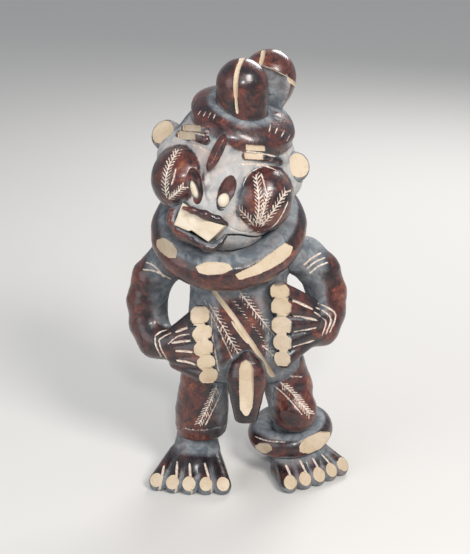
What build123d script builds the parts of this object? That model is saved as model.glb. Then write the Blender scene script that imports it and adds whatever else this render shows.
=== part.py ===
"""Carved wooden ancestor figure, built up from separately carved pieces that are pegged together.

Frame: millimetres, +Z up, the figure faces -Y, its own left side is +X.
The origin is the middle of the footprint box at floor level.
Every piece is one closed solid in its own STEP file. Pieces meet at glue lines of GAP.
"""
from build123d import *
import os
import math

os.makedirs("parts", exist_ok=True)

# ---------------------------------------------------------------- driving dimensions
AXIS_X, AXIS_Y = -3.0, 6.6          # the carver's centre line, seen from the middle of the box
GAP = 0.15                          # glue line between carved pieces
PEG_CLEAR = 0.05                    # radial clearance of a dowel in its hole

TORSO_SECTIONS = [                  # z, half width, half depth, centre x, centre y
    (71.0, 27.0, 17.0, 5.0, 0.0),
    (80.0, 36.0, 22.0, 4.5, 0.0),
    (92.0, 37.0, 25.5, 3.5, -0.5),
    (107.0, 34.0, 27.5, 2.5, -1.0),
    (124.0, 32.0, 26.5, 2.5, -0.5),
    (141.0, 31.0, 24.0, 2.5, 0.5),
    (155.0, 29.0, 22.0, 2.0, 1.0),
    (165.0, 23.0, 19.0, 1.0, 1.0),
]
NECK_X, NECK_Y, NECK_R, NECK_TOP = 0.0, 2.0, 17.0, 192.0

COLLAR_O = (-4.0, -5.0, 175.5)      # centre of the neck ring
COLLAR_R, COLLAR_TUBE = 37.0, 12.2
COLLAR_N = (-0.075, -0.440, 0.895)  # the ring hangs forward
WEB_LOW, WEB_TOP, WEB_R = -9.0, 3.0, 33.0
THROAT_R = 27.0

HEAD_O = (-1.0, 3.0, 222.0)
HEAD_R = 37.0
TOOTH_W, TOOTH_H = 28.0, 12.4
JAW_W, JAW_H = 33.0, 7.2
CAP_O, CAP_N = (5.0, -3.0, 246.0), (0.31, -0.24, 0.92)
CHEEK_R = 19.6
CHEEK_RIGHT = (-31.5, -20.0, 213.0)
CHEEK_LEFT = (16.0, -25.5, 202.5)

KNOB_FRONT = (4.2, -11.0, 266.5)
KNOB_R = 15.8
KNOB_REAR = (21.0, 13.0, 266.0)
KNOB_REAR_R = 16.5

EAR_R = 9.6
EAR_LEFT_FACE = (38.5, -13.5, 219.0)
EAR_LEFT_DIR = (0.55, -0.62, 0.56)
EAR_RIGHT_FACE = (-45.0, 2.0, 235.0)
EAR_RIGHT_DIR = (-0.72, -0.42, 0.55)
EAR_LEN = 13.0

ARM_R = 12.3
ARM_RIGHT_PATH = [(-30.0, 4.0, 159.0), (-57.5, 3.0, 122.0), (-41.0, -11.0, 94.0)]
ARM_LEFT_PATH = [(29.0, 4.0, 154.0), (59.5, 3.0, 128.0), (48.0, -11.0, 103.0)]
PALM_HALF = (10.5, 18.0)
PALM_RIGHT, PALM_LEFT = (-44.0, -12.0, 104.0), (48.0, -12.0, 114.5)

LEG_RIGHT = (-22.3, -1.0)           # axis of the right leg
LEG_LEFT = (34.5, 1.0)
KNEE_LEFT = (40.5, -8.0, 47.0)
KNEE_R = 14.6

FOOT_RIGHT_ANKLE, FOOT_RIGHT_TURN = (-26.0, 1.5), 6.5       # turned outwards, degrees
FOOT_LEFT_ANKLE, FOOT_LEFT_TURN = (37.0, 6.0), 31.5
FOOT_REACH, FOOT_HEEL, FOOT_TOE_W, FOOT_HEEL_W = 40.0, 17.5, 54.0, 29.0

ANKLET_O = (37.8, 6.0, 25.0)
ANKLET_R, ANKLET_TUBE = 20.5, 8.7
ANKLET_N = (-0.12, -0.05, 0.99)

TONGUE_FACE = (7.2, -37.0, 80.0)


def at(point):
    """Turns a point measured from the carver's centre line into the box frame."""
    x, y, z = tuple(point)
    return (x + AXIS_X, y + AXIS_Y, z)


def unit(v):
    return Vector(*v).normalized()


def plane_at(origin, normal, x_dir=None):
    n = unit(normal)
    side = Vector(*x_dir) if x_dir else (Vector(0, 1, 0) if abs(n.X) > 0.95 else Vector(1, 0, 0))
    x = side - n * side.dot(n)
    return Plane(origin=Vector(*at(origin)), x_dir=x.normalized(), z_dir=n)


collar_plane = plane_at(COLLAR_O, COLLAR_N)
anklet_plane = plane_at(ANKLET_O, ANKLET_N)

# Dowels: base point, direction, radius, length. The base is the dowel's lower end.
PEGS = {
    "neck_peg": ((-0.5, 2.0, 172.0), (0, 0, 1), 6.0, 40.0),
    "shoulder_peg_right": ((-12.0, 3.0, 155.0), (-1, 0, 0), 4.0, 30.0),
    "shoulder_peg_left": ((16.0, 3.0, 157.0), (1, 0, 0), 4.0, 30.0),
    "hand_peg_right": ((-25.0, -9.0, 104.0), (-0.30, -0.954, 0), 2.5, 16.0),
    "hand_peg_left": ((30.0, -9.0, 116.0), (0.30, -0.954, 0), 2.5, 16.0),
    "hip_peg_right": ((-19.0, -1.0, 62.0), (0, 0, 1), 4.5, 30.0),
    "hip_peg_left": ((31.0, 1.0, 69.0), (0, 0, 1), 4.5, 30.0),
    "ankle_peg_right": ((-24.0, 0.0, 12.0), (0, 0, 1), 4.5, 32.0),
    "ankle_peg_left": ((36.5, 4.5, 12.0), (0, 0, 1), 4.5, 38.0),
    "topknot_peg_front": ((4.0, -10.0, 242.0), (0, 0, 1), 4.0, 28.0),
    "topknot_peg_rear": ((13.0, 12.0, 244.0), (0.32, 0.04, 0.95), 4.0, 26.0),
    "ear_peg_left": ((25.5, 1.2, 205.8), EAR_LEFT_DIR, 3.0, 20.0),
    "ear_peg_right": ((-28.0, 11.9, 222.0), EAR_RIGHT_DIR, 3.0, 20.0),
    "jaw_peg": ((-16.0, -17.0, 179.0), (-0.20, -0.98, 0.0), 2.4, 22.0),
    "loincloth_peg": ((7.5, -17.0, 92.0), (0, -1, 0), 2.5, 15.5),
}


def peg_plane(name):
    base, direction, radius, length = PEGS[name]
    return plane_at(base, direction)


def drill(name):
    """Cuts the blind hole for a dowel out of the piece being built."""
    base, direction, radius, length = PEGS[name]
    start = plane_at(base, direction).offset(-0.6)
    with BuildSketch(start) as bore:
        Circle(radius + PEG_CLEAR)
    extrude(bore.sketch, amount=length + 1.2, mode=Mode.SUBTRACT)


# ---------------------------------------------------------------- torso
with BuildPart() as torso:
    for z, half_w, half_d, cx, cy in TORSO_SECTIONS:
        with BuildSketch(Plane.XY.offset(z)):
            with Locations((cx + AXIS_X, cy + AXIS_Y)):
                Ellipse(half_w, half_d)
    loft()
    torso_hull = torso.part
    with BuildSketch(Plane.XY.offset(150)):
        with Locations((NECK_X + AXIS_X, NECK_Y + AXIS_Y)):
            Circle(NECK_R)
    extrude(amount=NECK_TOP - 150)
    # the neck ends on the same slope as the ring that lies round it
    split(bisect_by=collar_plane.offset(WEB_TOP), keep=Keep.BOTTOM)
    torso_blank = torso.part
    for name in ("neck_peg", "shoulder_peg_right", "shoulder_peg_left", "hand_peg_right", "hand_peg_left",
                 "hip_peg_right", "hip_peg_left", "loincloth_peg"):
        drill(name)

# ---------------------------------------------------------------- neck ring
with BuildPart() as collar_cutter:      # the ring plus its glue line, used to seat its neighbours
    with Locations(collar_plane.location):
        Torus(COLLAR_R, COLLAR_TUBE + GAP)

with BuildPart() as collar_ring:
    with Locations(collar_plane.location):
        Torus(COLLAR_R, COLLAR_TUBE)
    with BuildSketch(collar_plane.offset(WEB_LOW)):
        Circle(WEB_R)
    extrude(amount=WEB_TOP - WEB_LOW)
    with BuildSketch(Plane.XY.offset(130)):
        with Locations((NECK_X + AXIS_X, NECK_Y + AXIS_Y)):
            Circle(NECK_R + GAP)
    extrude(amount=80, mode=Mode.SUBTRACT)
    # the ring sits down over the shoulders
    add(torso_hull, mode=Mode.SUBTRACT)
    # knife-cut facets
    for point, normal in (
        ((-42.0, -31.0, 172.0), (-0.72, -0.62, 0.30)),
        ((-11.0, -47.5, 156.0), (-0.05, -0.93, -0.36)),
        ((20.0, -43.0, 163.5), (0.42, -0.87, -0.25)),
        ((36.0, -31.0, 171.5), (0.80, -0.60, -0.05)),
    ):
        with BuildSketch(plane_at(point, normal)):
            Circle(26)
        extrude(amount=20, mode=Mode.SUBTRACT)

# ---------------------------------------------------------------- head
with BuildPart() as head:
    with Locations(at(HEAD_O)):
        Sphere(HEAD_R)
    # rolled hair cap
    cap_plane = plane_at(CAP_O, CAP_N)
    with BuildSketch(Plane(origin=cap_plane.origin, x_dir=cap_plane.x_dir, z_dir=cap_plane.y_dir)) as roll:
        Ellipse(33.0, 13.5)
        with Locations((-50, 0)):
            Rectangle(100, 60, mode=Mode.SUBTRACT)
    revolve(roll.sketch, axis=Axis(cap_plane.origin, cap_plane.z_dir))
    with Locations(at(CHEEK_RIGHT), at(CHEEK_LEFT)):
        Sphere(CHEEK_R)
    with Locations(at((-10.5, -25.5, 213.0))):
        Sphere(19.5)
    with Locations(at((-5.0, -13.0, 233.5))):
        Sphere(23.5)
    # nose: a lens-shaped ridge running down between the eyes
    with BuildSketch(plane_at((-10.8, -40.0, 233.5), (-0.20, -0.88, 0.43))) as nose:
        with Locations(Location((0, 0, 0), (0, 0, 66))):
            Ellipse(12.5, 4.4)
            with Locations((-16.0, 0.4)):
                Rectangle(16.0, 3.0)
    extrude(nose.sketch, amount=4.0, both=True)
    # brow bands
    with BuildSketch(plane_at((-24.5, -24.5, 242.0), (-0.55, -0.70, 0.45))) as brow_right:
        with Locations(Location((0, 0, 0), (0, 0, -18))):
            RectangleRounded(20, 5.4, 2)
            with Locations((-1.5, -6.4)):
                RectangleRounded(22, 5.4, 2)
    extrude(brow_right.sketch, amount=3.2, both=True)
    with BuildSketch(plane_at((14.5, -29.0, 231.5), (0.45, -0.78, 0.43))) as brow_left:
        with Locations(Location((0, 0, 0), (0, 0, -13))):
            RectangleRounded(23, 5.4, 2)
            with Locations((1.5, -6.4)):
                RectangleRounded(25, 5.4, 2)
    extrude(brow_left.sketch, amount=3.2, both=True)
    # throat block that carries the head on the neck and the ring's web
    with BuildSketch(collar_plane.offset(WEB_TOP - 1)) as throat:
        Circle(THROAT_R)
    extrude(throat.sketch, amount=26)
    # the underside sits on the neck and the ring's web
    split(bisect_by=collar_plane.offset(WEB_TOP + GAP), keep=Keep.TOP)
    add(collar_cutter.part, mode=Mode.SUBTRACT)
    # bed for the two knobs
    head_blank = head.part
    # mouth: a slot for the slab and a seat for the jaw below it
    mouth_plane = plane_at((-19.0, -40.5, 189.5), (-0.20, -0.95, 0.24), (0.93, -0.15, -0.31))
    with BuildSketch(mouth_plane.offset(-12)) as mouth:
        with Locations((0, 1.2)):
            Rectangle(TOOTH_W, TOOTH_H)
        with Locations((-1.0, -(TOOTH_H + JAW_H) / 2 + 1.2)):
            Rectangle(JAW_W, JAW_H)
    extrude(mouth.sketch, amount=60, mode=Mode.SUBTRACT)
    for name in ("neck_peg", "topknot_peg_front", "topknot_peg_rear", "ear_peg_left", "ear_peg_right", "jaw_peg"):
        drill(name)


# ---------------------------------------------------------------- jaw and tooth slab
with BuildPart() as tooth_plate:
    with BuildSketch(mouth_plane.offset(-12 + GAP)):
        with Locations((0, 1.2)):
            Rectangle(TOOTH_W - 2 * GAP, TOOTH_H - 2 * GAP)
    extrude(amount=21.5)
    fillet(tooth_plate.faces().sort_by(Axis.Y)[0].edges(), 1.6)

with BuildPart() as lower_jaw:
    with BuildSketch(mouth_plane.offset(-12 + GAP)):
        with Locations((-1.0, -(TOOTH_H + JAW_H) / 2 + 1.2)):
            Rectangle(JAW_W - 2 * GAP, JAW_H - 2 * GAP)
    extrude(amount=19.5)
    fillet(lower_jaw.edges().group_by(Axis.Y)[0], 3.0)
    # the jaw clears the neck ring with an open gap
    with BuildSketch(collar_plane.offset(WEB_TOP + 1.2)):
        Circle(90)
    extrude(amount=-60, mode=Mode.SUBTRACT)
    drill("jaw_peg")

# ---------------------------------------------------------------- knobs on the crown
front_seat = plane_at((4.0, -10.0, 251.5), (0, 0, 1))
rear_seat = plane_at((16.5, 12.5, 254.5), (0.32, 0.04, 0.95))

with BuildPart() as head_seated:
    add(head.part)
    for seat in (front_seat, rear_seat):
        with BuildSketch(seat) as bed:
            Circle(17.5)
        extrude(bed.sketch, amount=30, mode=Mode.SUBTRACT)
    # flat beds for the ear plugs
    for face, direction in ((EAR_LEFT_FACE, EAR_LEFT_DIR), (EAR_RIGHT_FACE, EAR_RIGHT_DIR)):
        with BuildSketch(plane_at(face, direction).offset(-EAR_LEN)) as bed:
            Circle(EAR_R + 1.5)
        extrude(bed.sketch, amount=30, mode=Mode.SUBTRACT)

with BuildPart() as topknot_front:
    with BuildSketch(front_seat.offset(GAP)):
        Circle(14.2)
    extrude(amount=12)
    with Locations(at(KNOB_FRONT)):
        Sphere(KNOB_R)
    split(bisect_by=front_seat.offset(GAP), keep=Keep.TOP)
    # pale V groove over the dome
    with BuildSketch(Plane(origin=at(KNOB_FRONT), x_dir=(0.995, 0.0, 0.10), z_dir=(0, 1, 0))):
        with BuildLine():
            Polyline((-2.0, 17.0), (0.0, 13.4), (2.0, 17.0), (-2.0, 17.0))
        make_face()
    extrude(amount=16, both=True, mode=Mode.SUBTRACT)
    drill("topknot_peg_front")

with BuildPart() as topknot_rear:
    with BuildSketch(rear_seat.offset(GAP)):
        Circle(13.6)
    extrude(amount=8)
    with Locations(at(KNOB_REAR)):
        Sphere(KNOB_REAR_R)
    split(bisect_by=rear_seat.offset(GAP), keep=Keep.TOP)
    # flat undercut facet towards the front
    with BuildSketch(plane_at((28.0, 1.5, 262.0), (0.10, -0.90, -0.42))):
        Rectangle(60, 26)
    extrude(amount=30, mode=Mode.SUBTRACT)
    # clear of the front knob
    with Locations(at(KNOB_FRONT)):
        Sphere(KNOB_R + 0.8, mode=Mode.SUBTRACT)
    with BuildSketch(front_seat) as clear:
        Circle(KNOB_R + 0.8)
    extrude(clear.sketch, amount=16, mode=Mode.SUBTRACT)
    drill("topknot_peg_rear")

# ---------------------------------------------------------------- ear plugs
ears = {}
for side_name, face, direction, peg in (("left", EAR_LEFT_FACE, EAR_LEFT_DIR, "ear_peg_left"),
                                        ("right", EAR_RIGHT_FACE, EAR_RIGHT_DIR, "ear_peg_right")):
    with BuildPart() as ear:
        with BuildSketch(plane_at(face, direction).offset(-EAR_LEN + GAP)):
            Circle(EAR_R - 1.5)
        with BuildSketch(plane_at(face, direction).offset(-0.8)):
            Circle(EAR_R)
        loft()
        with BuildSketch(plane_at(face, direction).offset(-0.8)):
            Circle(EAR_R)
        extrude(amount=0.8)
        chamfer(ear.edges().sort_by(Axis(at(face), direction))[-1], 0.6)
        drill(peg)
    ears[side_name] = ear

# ---------------------------------------------------------------- eyes
EYES = {
    "right": ((-22.8, -38.5, 213.0), (-0.30, -0.93, 0.12), 15.0, 8.0, -76.0),
    "left": ((-6.0, -42.5, 211.0), (0.10, -0.97, 0.15), 15.0, 8.0, 76.0),
}
eyes = {}
with BuildPart() as head_done:
    add(head_seated.part)
    for side_name, (centre, normal, length, width, turn) in EYES.items():
        socket = plane_at(centre, normal)
        with BuildSketch(socket.offset(-3.2)) as hollow:
            with Locations(Location((0, 0, 0), (0, 0, turn))):
                Ellipse(length / 2 + GAP, width / 2 + GAP)
        extrude(hollow.sketch, amount=24, mode=Mode.SUBTRACT)
for side_name, (centre, normal, length, width, turn) in EYES.items():
    with BuildPart() as eye:
        with BuildSketch(plane_at(centre, normal).offset(-3.2 + GAP)):
            with Locations(Location((0, 0, 0), (0, 0, turn))):
                Ellipse(length / 2, width / 2)
        extrude(amount=3.4)
        fillet(eye.edges().sort_by(Axis(at(centre), normal))[-1], 1.0)
    eyes[side_name] = eye

# ---------------------------------------------------------------- arms
with BuildPart() as torso_cutter:       # the body plus its glue line
    for z, half_w, half_d, cx, cy in TORSO_SECTIONS:
        with BuildSketch(Plane.XY.offset(z)):
            with Locations((cx + AXIS_X, cy + AXIS_Y)):
                Ellipse(half_w + GAP, half_d + GAP)
    loft()


def arm_solid(path, palm_at, fingers):
    with BuildPart() as arm:
        with BuildLine() as bone:
            ThreePointArc(*[at(point) for point in path])
        with BuildSketch(Plane(origin=bone.line @ 0, z_dir=bone.line % 0)) as section:
            Circle(ARM_R)
        sweep(section.sketch, path=bone.line)
        add(collar_cutter.part, mode=Mode.SUBTRACT)
        # back of the hand
        with BuildSketch(plane_at(palm_at, (0, -1, 0))) as palm:
            Ellipse(*PALM_HALF)
            with Locations((-50, 0)):
                Rectangle(100, 60, mode=Mode.SUBTRACT)
        revolve(palm.sketch, axis=Axis(at(palm_at), (0, 0, 1)))
        for root, tip in fingers:
            root, tip = Vector(*root), Vector(*tip)
            along = (tip - root).normalized()
            with BuildSketch(plane_at(tuple(root), tuple(along))) as knuckle:
                Circle(5.6)
            extrude(knuckle.sketch, amount=(tip - root).length)
            with Locations(at(root), at(tip)):
                Sphere(5.6)
        add(torso_cutter.part, mode=Mode.SUBTRACT)
    return arm.part


ARM_RIGHT_FINGERS = [
    ((-40.0, -15.0, 116.5), (-23.0, -25.0, 122.5)),
    ((-42.0, -16.0, 110.0), (-22.0, -26.5, 113.0)),
    ((-43.0, -16.0, 103.0), (-21.0, -27.5, 103.0)),
    ((-43.0, -16.0, 96.0), (-20.5, -28.0, 93.0)),
    ((-42.0, -15.0, 89.5), (-19.5, -28.0, 83.5)),
]
ARM_LEFT_FINGERS = [
    ((44.0, -15.0, 128.0), (28.5, -24.5, 134.0)),
    ((47.0, -16.0, 121.0), (29.0, -26.5, 124.5)),
    ((48.0, -16.0, 113.5), (30.0, -27.5, 114.0)),
    ((47.0, -16.0, 106.0), (30.5, -27.5, 103.5)),
    ((45.0, -15.0, 99.5), (30.0, -27.0, 94.0)),
]
arms = {}
for side_name, path, palm_at, fingers in (("right", ARM_RIGHT_PATH, PALM_RIGHT, ARM_RIGHT_FINGERS),
                                          ("left", ARM_LEFT_PATH, PALM_LEFT, ARM_LEFT_FINGERS)):
    blank = arm_solid(path, palm_at, fingers)
    with BuildPart() as arm:
        add(blank)
        # pale nail facets at the fingertips
        for root, tip in fingers:
            root, tip = Vector(*root), Vector(*tip)
            along = (tip - root).normalized()
            cut = Vector(0.10 if side_name == "right" else -0.10, -0.97, 0.1).normalized()
            with BuildSketch(plane_at(tuple(tip + cut * 4.3), tuple(cut))) as nail:
                with Locations((3.5 if side_name == "right" else -3.5, 0)):
                    Rectangle(17, 11)
            extrude(nail.sketch, amount=8, mode=Mode.SUBTRACT)
        drill(f"shoulder_peg_{side_name}")
        drill(f"hand_peg_{side_name}")
    arms[side_name] = arm

# ---------------------------------------------------------------- anklet ring
with BuildPart() as anklet_cutter:
    with Locations(anklet_plane.location):
        Torus(ANKLET_R, ANKLET_TUBE + GAP)

with BuildPart() as anklet_ring:
    with Locations(anklet_plane.location):
        Torus(ANKLET_R, ANKLET_TUBE)
    for point, normal in (((20.0, -14.0, 24.5), (-0.66, -0.74, 0.05)), ((58.5, -14.0, 27.5), (0.72, -0.68, 0.05))):
        with BuildSketch(plane_at(point, normal)):
            Circle(18)
        extrude(amount=14, mode=Mode.SUBTRACT)

# ---------------------------------------------------------------- legs
LEG_RIGHT_PROFILE = [(15.0, 27.2), (17.4, 33.0), (17.9, 45.0), (16.9, 58.0), (15.6, 71.0), (11.0, 82.0), (0.0, 86.5)]
LEG_LEFT_PROFILE = [(13.5, 34.2), (14.4, 42.0), (14.6, 52.0), (15.2, 62.0), (15.2, 73.0), (11.0, 84.0), (0.0, 88.5)]


def leg_outline(profile):
    """Half outline of a leg barrel, closed on its axis."""
    with BuildLine() as edge:
        Spline(*profile)
        Polyline(profile[-1], (0, profile[0][1]), profile[0])
    return edge.line


legs = {}
with BuildPart() as leg_right:
    with BuildSketch(plane_at((*LEG_RIGHT, 0), (0, -1, 0))) as half:
        add(leg_outline(LEG_RIGHT_PROFILE))
        make_face()
    revolve(half.sketch, axis=Axis(at((*LEG_RIGHT, 0)), (0, 0, 1)))
    # the hip swells up over the corner of the body
    add(torso_cutter.part, mode=Mode.SUBTRACT)
    drill("hip_peg_right")
    drill("ankle_peg_right")

with BuildPart() as leg_left:
    with BuildSketch(plane_at((*LEG_LEFT, 0), (0, -1, 0))) as half:
        add(leg_outline(LEG_LEFT_PROFILE))
        make_face()
    revolve(half.sketch, axis=Axis(at((*LEG_LEFT, 0)), (0, 0, 1)))
    with Locations(at(KNEE_LEFT)):
        Sphere(KNEE_R)
    split(bisect_by=Plane.XY.offset(34.2), keep=Keep.TOP)
    add(torso_cutter.part, mode=Mode.SUBTRACT)
    add(anklet_cutter.part, mode=Mode.SUBTRACT)
    drill("hip_peg_left")
    drill("ankle_peg_left")


# ---------------------------------------------------------------- feet
def foot_blank(ankle, turn, reach, toe_w, stub_r, stub_top, instep):
    """Wedge foot with five toes; local -Y is the toe direction."""
    a = math.radians(turn)
    ground = Plane(origin=at((*ankle, 0)), x_dir=(math.cos(a), math.sin(a), 0), z_dir=(0, 0, 1))
    toe_r = toe_w / 10 + 0.6
    toe_x = [(-2 + i) * (toe_w - 2 * toe_r) / 4 for i in range(5)]
    toe_y = [-(reach - toe_r) + 0.9 * (abs(i - 2)) ** 1.6 for i in range(5)]
    with BuildPart() as foot:
        with BuildSketch(ground) as sole:
            with Locations((0, FOOT_HEEL - FOOT_HEEL_W / 2)):
                Circle(FOOT_HEEL_W / 2)
            with Locations((toe_x[0], toe_y[0]), (toe_x[4], toe_y[4]), (toe_x[2], toe_y[2] + 1.5)):
                Circle(toe_r - 0.3)
            make_hull()
            with Locations(*zip(toe_x, toe_y)):
                Circle(toe_r)
        extrude(sole.sketch, amount=stub_top)
        # instep slopes down to the toes
        slope = Plane(origin=ground.from_local_coords(Vector(0, -12.0, instep)),
                      x_dir=ground.x_dir, z_dir=(ground.z_dir * 0.90 - ground.y_dir * 0.44).normalized())
        split(bisect_by=slope, keep=Keep.BOTTOM)
        with BuildSketch(ground.offset(instep)) as above:
            Rectangle(200, 200)
        extrude(above.sketch, amount=60, mode=Mode.SUBTRACT)
        with BuildSketch(ground.offset(instep - 6)) as stub:
            Circle(stub_r)
        extrude(stub.sketch, amount=stub_top - instep + 6)
        # grooves between the toes
        for i in range(4):
            x_mid = (toe_x[i] + toe_x[i + 1]) / 2
            lean = Vector(x_mid * 0.36, -1, 0).normalized()
            start = ground.from_local_coords(Vector(x_mid * 0.86, -(reach - 17.5), 0))
            end_dir = ground.from_local_coords(Vector(x_mid * 0.86, -(reach - 17.5), 0) + lean) - start
            with BuildSketch(Plane(origin=start, x_dir=Vector(0, 0, 1).cross(end_dir), z_dir=end_dir)) as cut:
                with BuildLine():
                    Polyline((-1.5, 40), (-1.5, 9.0), (0, 5.5), (1.5, 9.0), (1.5, 40), (-1.5, 40))
                make_face()
            extrude(cut.sketch, amount=30, mode=Mode.SUBTRACT)
        # nail facets
        for x, y in zip(toe_x, toe_y):
            spot = ground.from_local_coords(Vector(x, y - 1.0, 10.4 - abs(x) * 0.02))
            facing = (ground.z_dir * 0.60 - ground.y_dir * 0.80).normalized()
            with BuildSketch(Plane(origin=spot, x_dir=ground.x_dir, z_dir=facing)) as nail:
                Rectangle(toe_r * 1.5, 26)
            extrude(nail.sketch, amount=12, mode=Mode.SUBTRACT)
    return foot.part


with BuildPart() as foot_right:
    add(foot_blank(FOOT_RIGHT_ANKLE, -FOOT_RIGHT_TURN, FOOT_REACH, FOOT_TOE_W, 14.0, 27.0, 22.0))
    drill("ankle_peg_right")

with BuildPart() as foot_left:
    add(foot_blank(FOOT_LEFT_ANKLE, FOOT_LEFT_TURN, FOOT_REACH - 1.5, FOOT_TOE_W - 1.5, 11.0, 34.0, 19.0))
    add(anklet_cutter.part, mode=Mode.SUBTRACT)
    drill("ankle_peg_left")

# ---------------------------------------------------------------- loincloth tongue
with BuildPart() as loincloth_tongue:
    tongue_face = plane_at(TONGUE_FACE, (0, -0.98, 0.19))
    with BuildSketch(tongue_face.offset(-14)):
        with BuildLine():
            Polyline((-13, 22), (13, 22), (6.5, -25), (-6.0, -25), (-13, 22))
        make_face()
    extrude(amount=14)
    # two slopes leave a raised ridge down the middle
    for sign in (-1, 1):
        with BuildSketch(plane_at((TONGUE_FACE[0] + sign * 4.5, TONGUE_FACE[1], TONGUE_FACE[2]), (sign * 0.45, -0.88, 0.17))):
            with Locations((sign * 12, 0)):
                Rectangle(24, 80)
        extrude(amount=14, mode=Mode.SUBTRACT)
    add(torso_cutter.part, mode=Mode.SUBTRACT)
    drill("loincloth_peg")

# ---------------------------------------------------------------- dowels
dowels = {}
for peg_name, (base, direction, radius, length) in PEGS.items():
    with BuildPart() as dowel:
        with BuildSketch(peg_plane(peg_name)):
            Circle(radius)
        extrude(amount=length)
        chamfer(dowel.edges().filter_by(GeomType.CIRCLE), 0.5)
    dowels[peg_name] = dowel

# ---------------------------------------------------------------- finished pieces
finished = {
    "torso": torso, "collar_ring": collar_ring, "head": head_done,
    "tooth_plate": tooth_plate, "lower_jaw": lower_jaw,
    "topknot_front": topknot_front, "topknot_rear": topknot_rear,
    "ear_left": ears["left"], "ear_right": ears["right"],
    "eye_left": eyes["left"], "eye_right": eyes["right"],
    "arm_left": arms["left"], "arm_right": arms["right"],
    "leg_left": leg_left, "leg_right": leg_right,
    "foot_left": foot_left, "foot_right": foot_right,
    "anklet_ring": anklet_ring, "loincloth_tongue": loincloth_tongue,
    **dowels,
}
for part_name, piece in finished.items():
    piece.part.label = part_name
    export_step(piece.part, f"parts/{part_name}.step")
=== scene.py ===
import math
import bpy
import numpy as np
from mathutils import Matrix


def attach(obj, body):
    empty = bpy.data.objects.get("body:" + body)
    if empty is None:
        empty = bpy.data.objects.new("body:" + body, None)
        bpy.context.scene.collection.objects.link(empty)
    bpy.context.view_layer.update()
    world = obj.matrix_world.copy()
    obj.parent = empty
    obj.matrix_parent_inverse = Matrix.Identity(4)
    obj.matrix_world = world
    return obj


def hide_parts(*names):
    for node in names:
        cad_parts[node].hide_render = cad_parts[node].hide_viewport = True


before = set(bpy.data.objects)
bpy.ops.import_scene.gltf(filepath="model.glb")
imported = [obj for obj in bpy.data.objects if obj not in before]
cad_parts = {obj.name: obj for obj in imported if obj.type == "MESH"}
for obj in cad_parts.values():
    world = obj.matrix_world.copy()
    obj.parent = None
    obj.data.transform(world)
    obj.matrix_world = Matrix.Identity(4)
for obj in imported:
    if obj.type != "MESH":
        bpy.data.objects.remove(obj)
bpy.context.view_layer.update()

import openvdb

H = 0.5            # carving grid, mm
AX, AY = -3.0, 6.6                   # carver's centre line in the row frame, mm

# The carver's sight line: marks are laid out on an upright sheet (a across, b up, in mm) and pressed on along it.
TILT, REACH = math.radians(22.0), 760.0
EYE_AT = np.array([0.0, 0.0, 140.0])
FWD = np.array([0.0, math.cos(TILT), -math.sin(TILT)])
RIGHT = np.array([1.0, 0.0, 0.0])
UP = np.array([0.0, math.sin(TILT), math.cos(TILT)])
EYE = EYE_AT - FWD * REACH


def at_y(ab, y):
    """The point on the sight line through sheet point ab, at depth y."""
    d = FWD * REACH + ab[0] * RIGHT + ab[1] * UP
    return EYE + d * (y - EYE[1]) / d[1]


def sheet_of(P):
    q = P - EYE
    z = q @ FWD
    return REACH * q[:, 0] / z, REACH * (q @ UP) / z


def unit(v):
    v = np.asarray(v, float)
    return v / np.linalg.norm(v)


# ------------------------------------------------------------------ distance shapes (mm)
def sphere(P, c, r):
    return np.sqrt(((P - np.asarray(c, P.dtype)) ** 2).sum(1)) - r


def basis(n, x=None):
    n = unit(n)
    x = np.asarray(x if x is not None else ((0, 1, 0) if abs(n[0]) > 0.95 else (1, 0, 0)), float)
    x = unit(x - n * (x @ n))
    return np.stack([x, np.cross(n, x), n])


def ellipsoid(P, c, r, axes=None):
    q = P - np.asarray(c, P.dtype)
    if axes is not None:
        q = q @ np.asarray(axes, P.dtype).T
    r = np.asarray(r, P.dtype)
    k0 = np.sqrt(((q / r) ** 2).sum(1))
    k1 = np.sqrt(((q / (r * r)) ** 2).sum(1)) + 1e-6
    return k0 * (k0 - 1.0) / k1


def capsule(P, a, b, ra, rb=None):
    rb = ra if rb is None else rb
    a, b = np.asarray(a, P.dtype), np.asarray(b, P.dtype)
    ab = b - a
    t = np.clip(((P - a) @ ab) / max(float(ab @ ab), 1e-6), 0, 1)
    return np.sqrt(((P - a - t[:, None] * ab) ** 2).sum(1)) - (ra + (rb - ra) * t)


def torus(P, c, n, R, r):
    q = P - np.asarray(c, P.dtype)
    n = unit(n).astype(P.dtype)
    h = q @ n
    rad = np.sqrt(np.maximum((q ** 2).sum(1) - h * h, 0))
    return np.sqrt((rad - R) ** 2 + h * h) - r


def disc(P, c, n, R, low, high, rnd=1.0):
    q = P - np.asarray(c, P.dtype)
    n = unit(n).astype(P.dtype)
    h = q @ n
    rad = np.sqrt(np.maximum((q ** 2).sum(1) - h * h, 0))
    dx = rad - (R - rnd)
    dz = np.maximum(low + rnd - h, h - high + rnd)
    return np.minimum(np.maximum(dx, dz), 0) + np.sqrt(np.maximum(dx, 0) ** 2 + np.maximum(dz, 0) ** 2) - rnd


def block(P, c, axes, half, rnd=1.0):
    q = np.abs((P - np.asarray(c, P.dtype)) @ np.asarray(axes, P.dtype).T) - (np.asarray(half, P.dtype) - rnd)
    return np.minimum(q.max(1), 0) + np.sqrt((np.maximum(q, 0) ** 2).sum(1)) - rnd


def smin(a, b, k):
    h = np.maximum(k - np.abs(a - b), 0) / k
    return np.minimum(a, b) - h * h * k * 0.25


def smax(a, b, k):
    h = np.maximum(k - np.abs(a - b), 0) / k
    return np.maximum(a, b) + h * h * k * 0.25


RNG = np.random.default_rng(7)
WAVES = [(unit(RNG.normal(size=3)) * 2 * math.pi / L, RNG.uniform(0, 6.28), A)
         for L, A in ((34, .20), (27, .18), (19, .16), (15, .14), (11, .10), (9, .08), (7, .07), (5.2, .05), (4.3, .04))]


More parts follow.
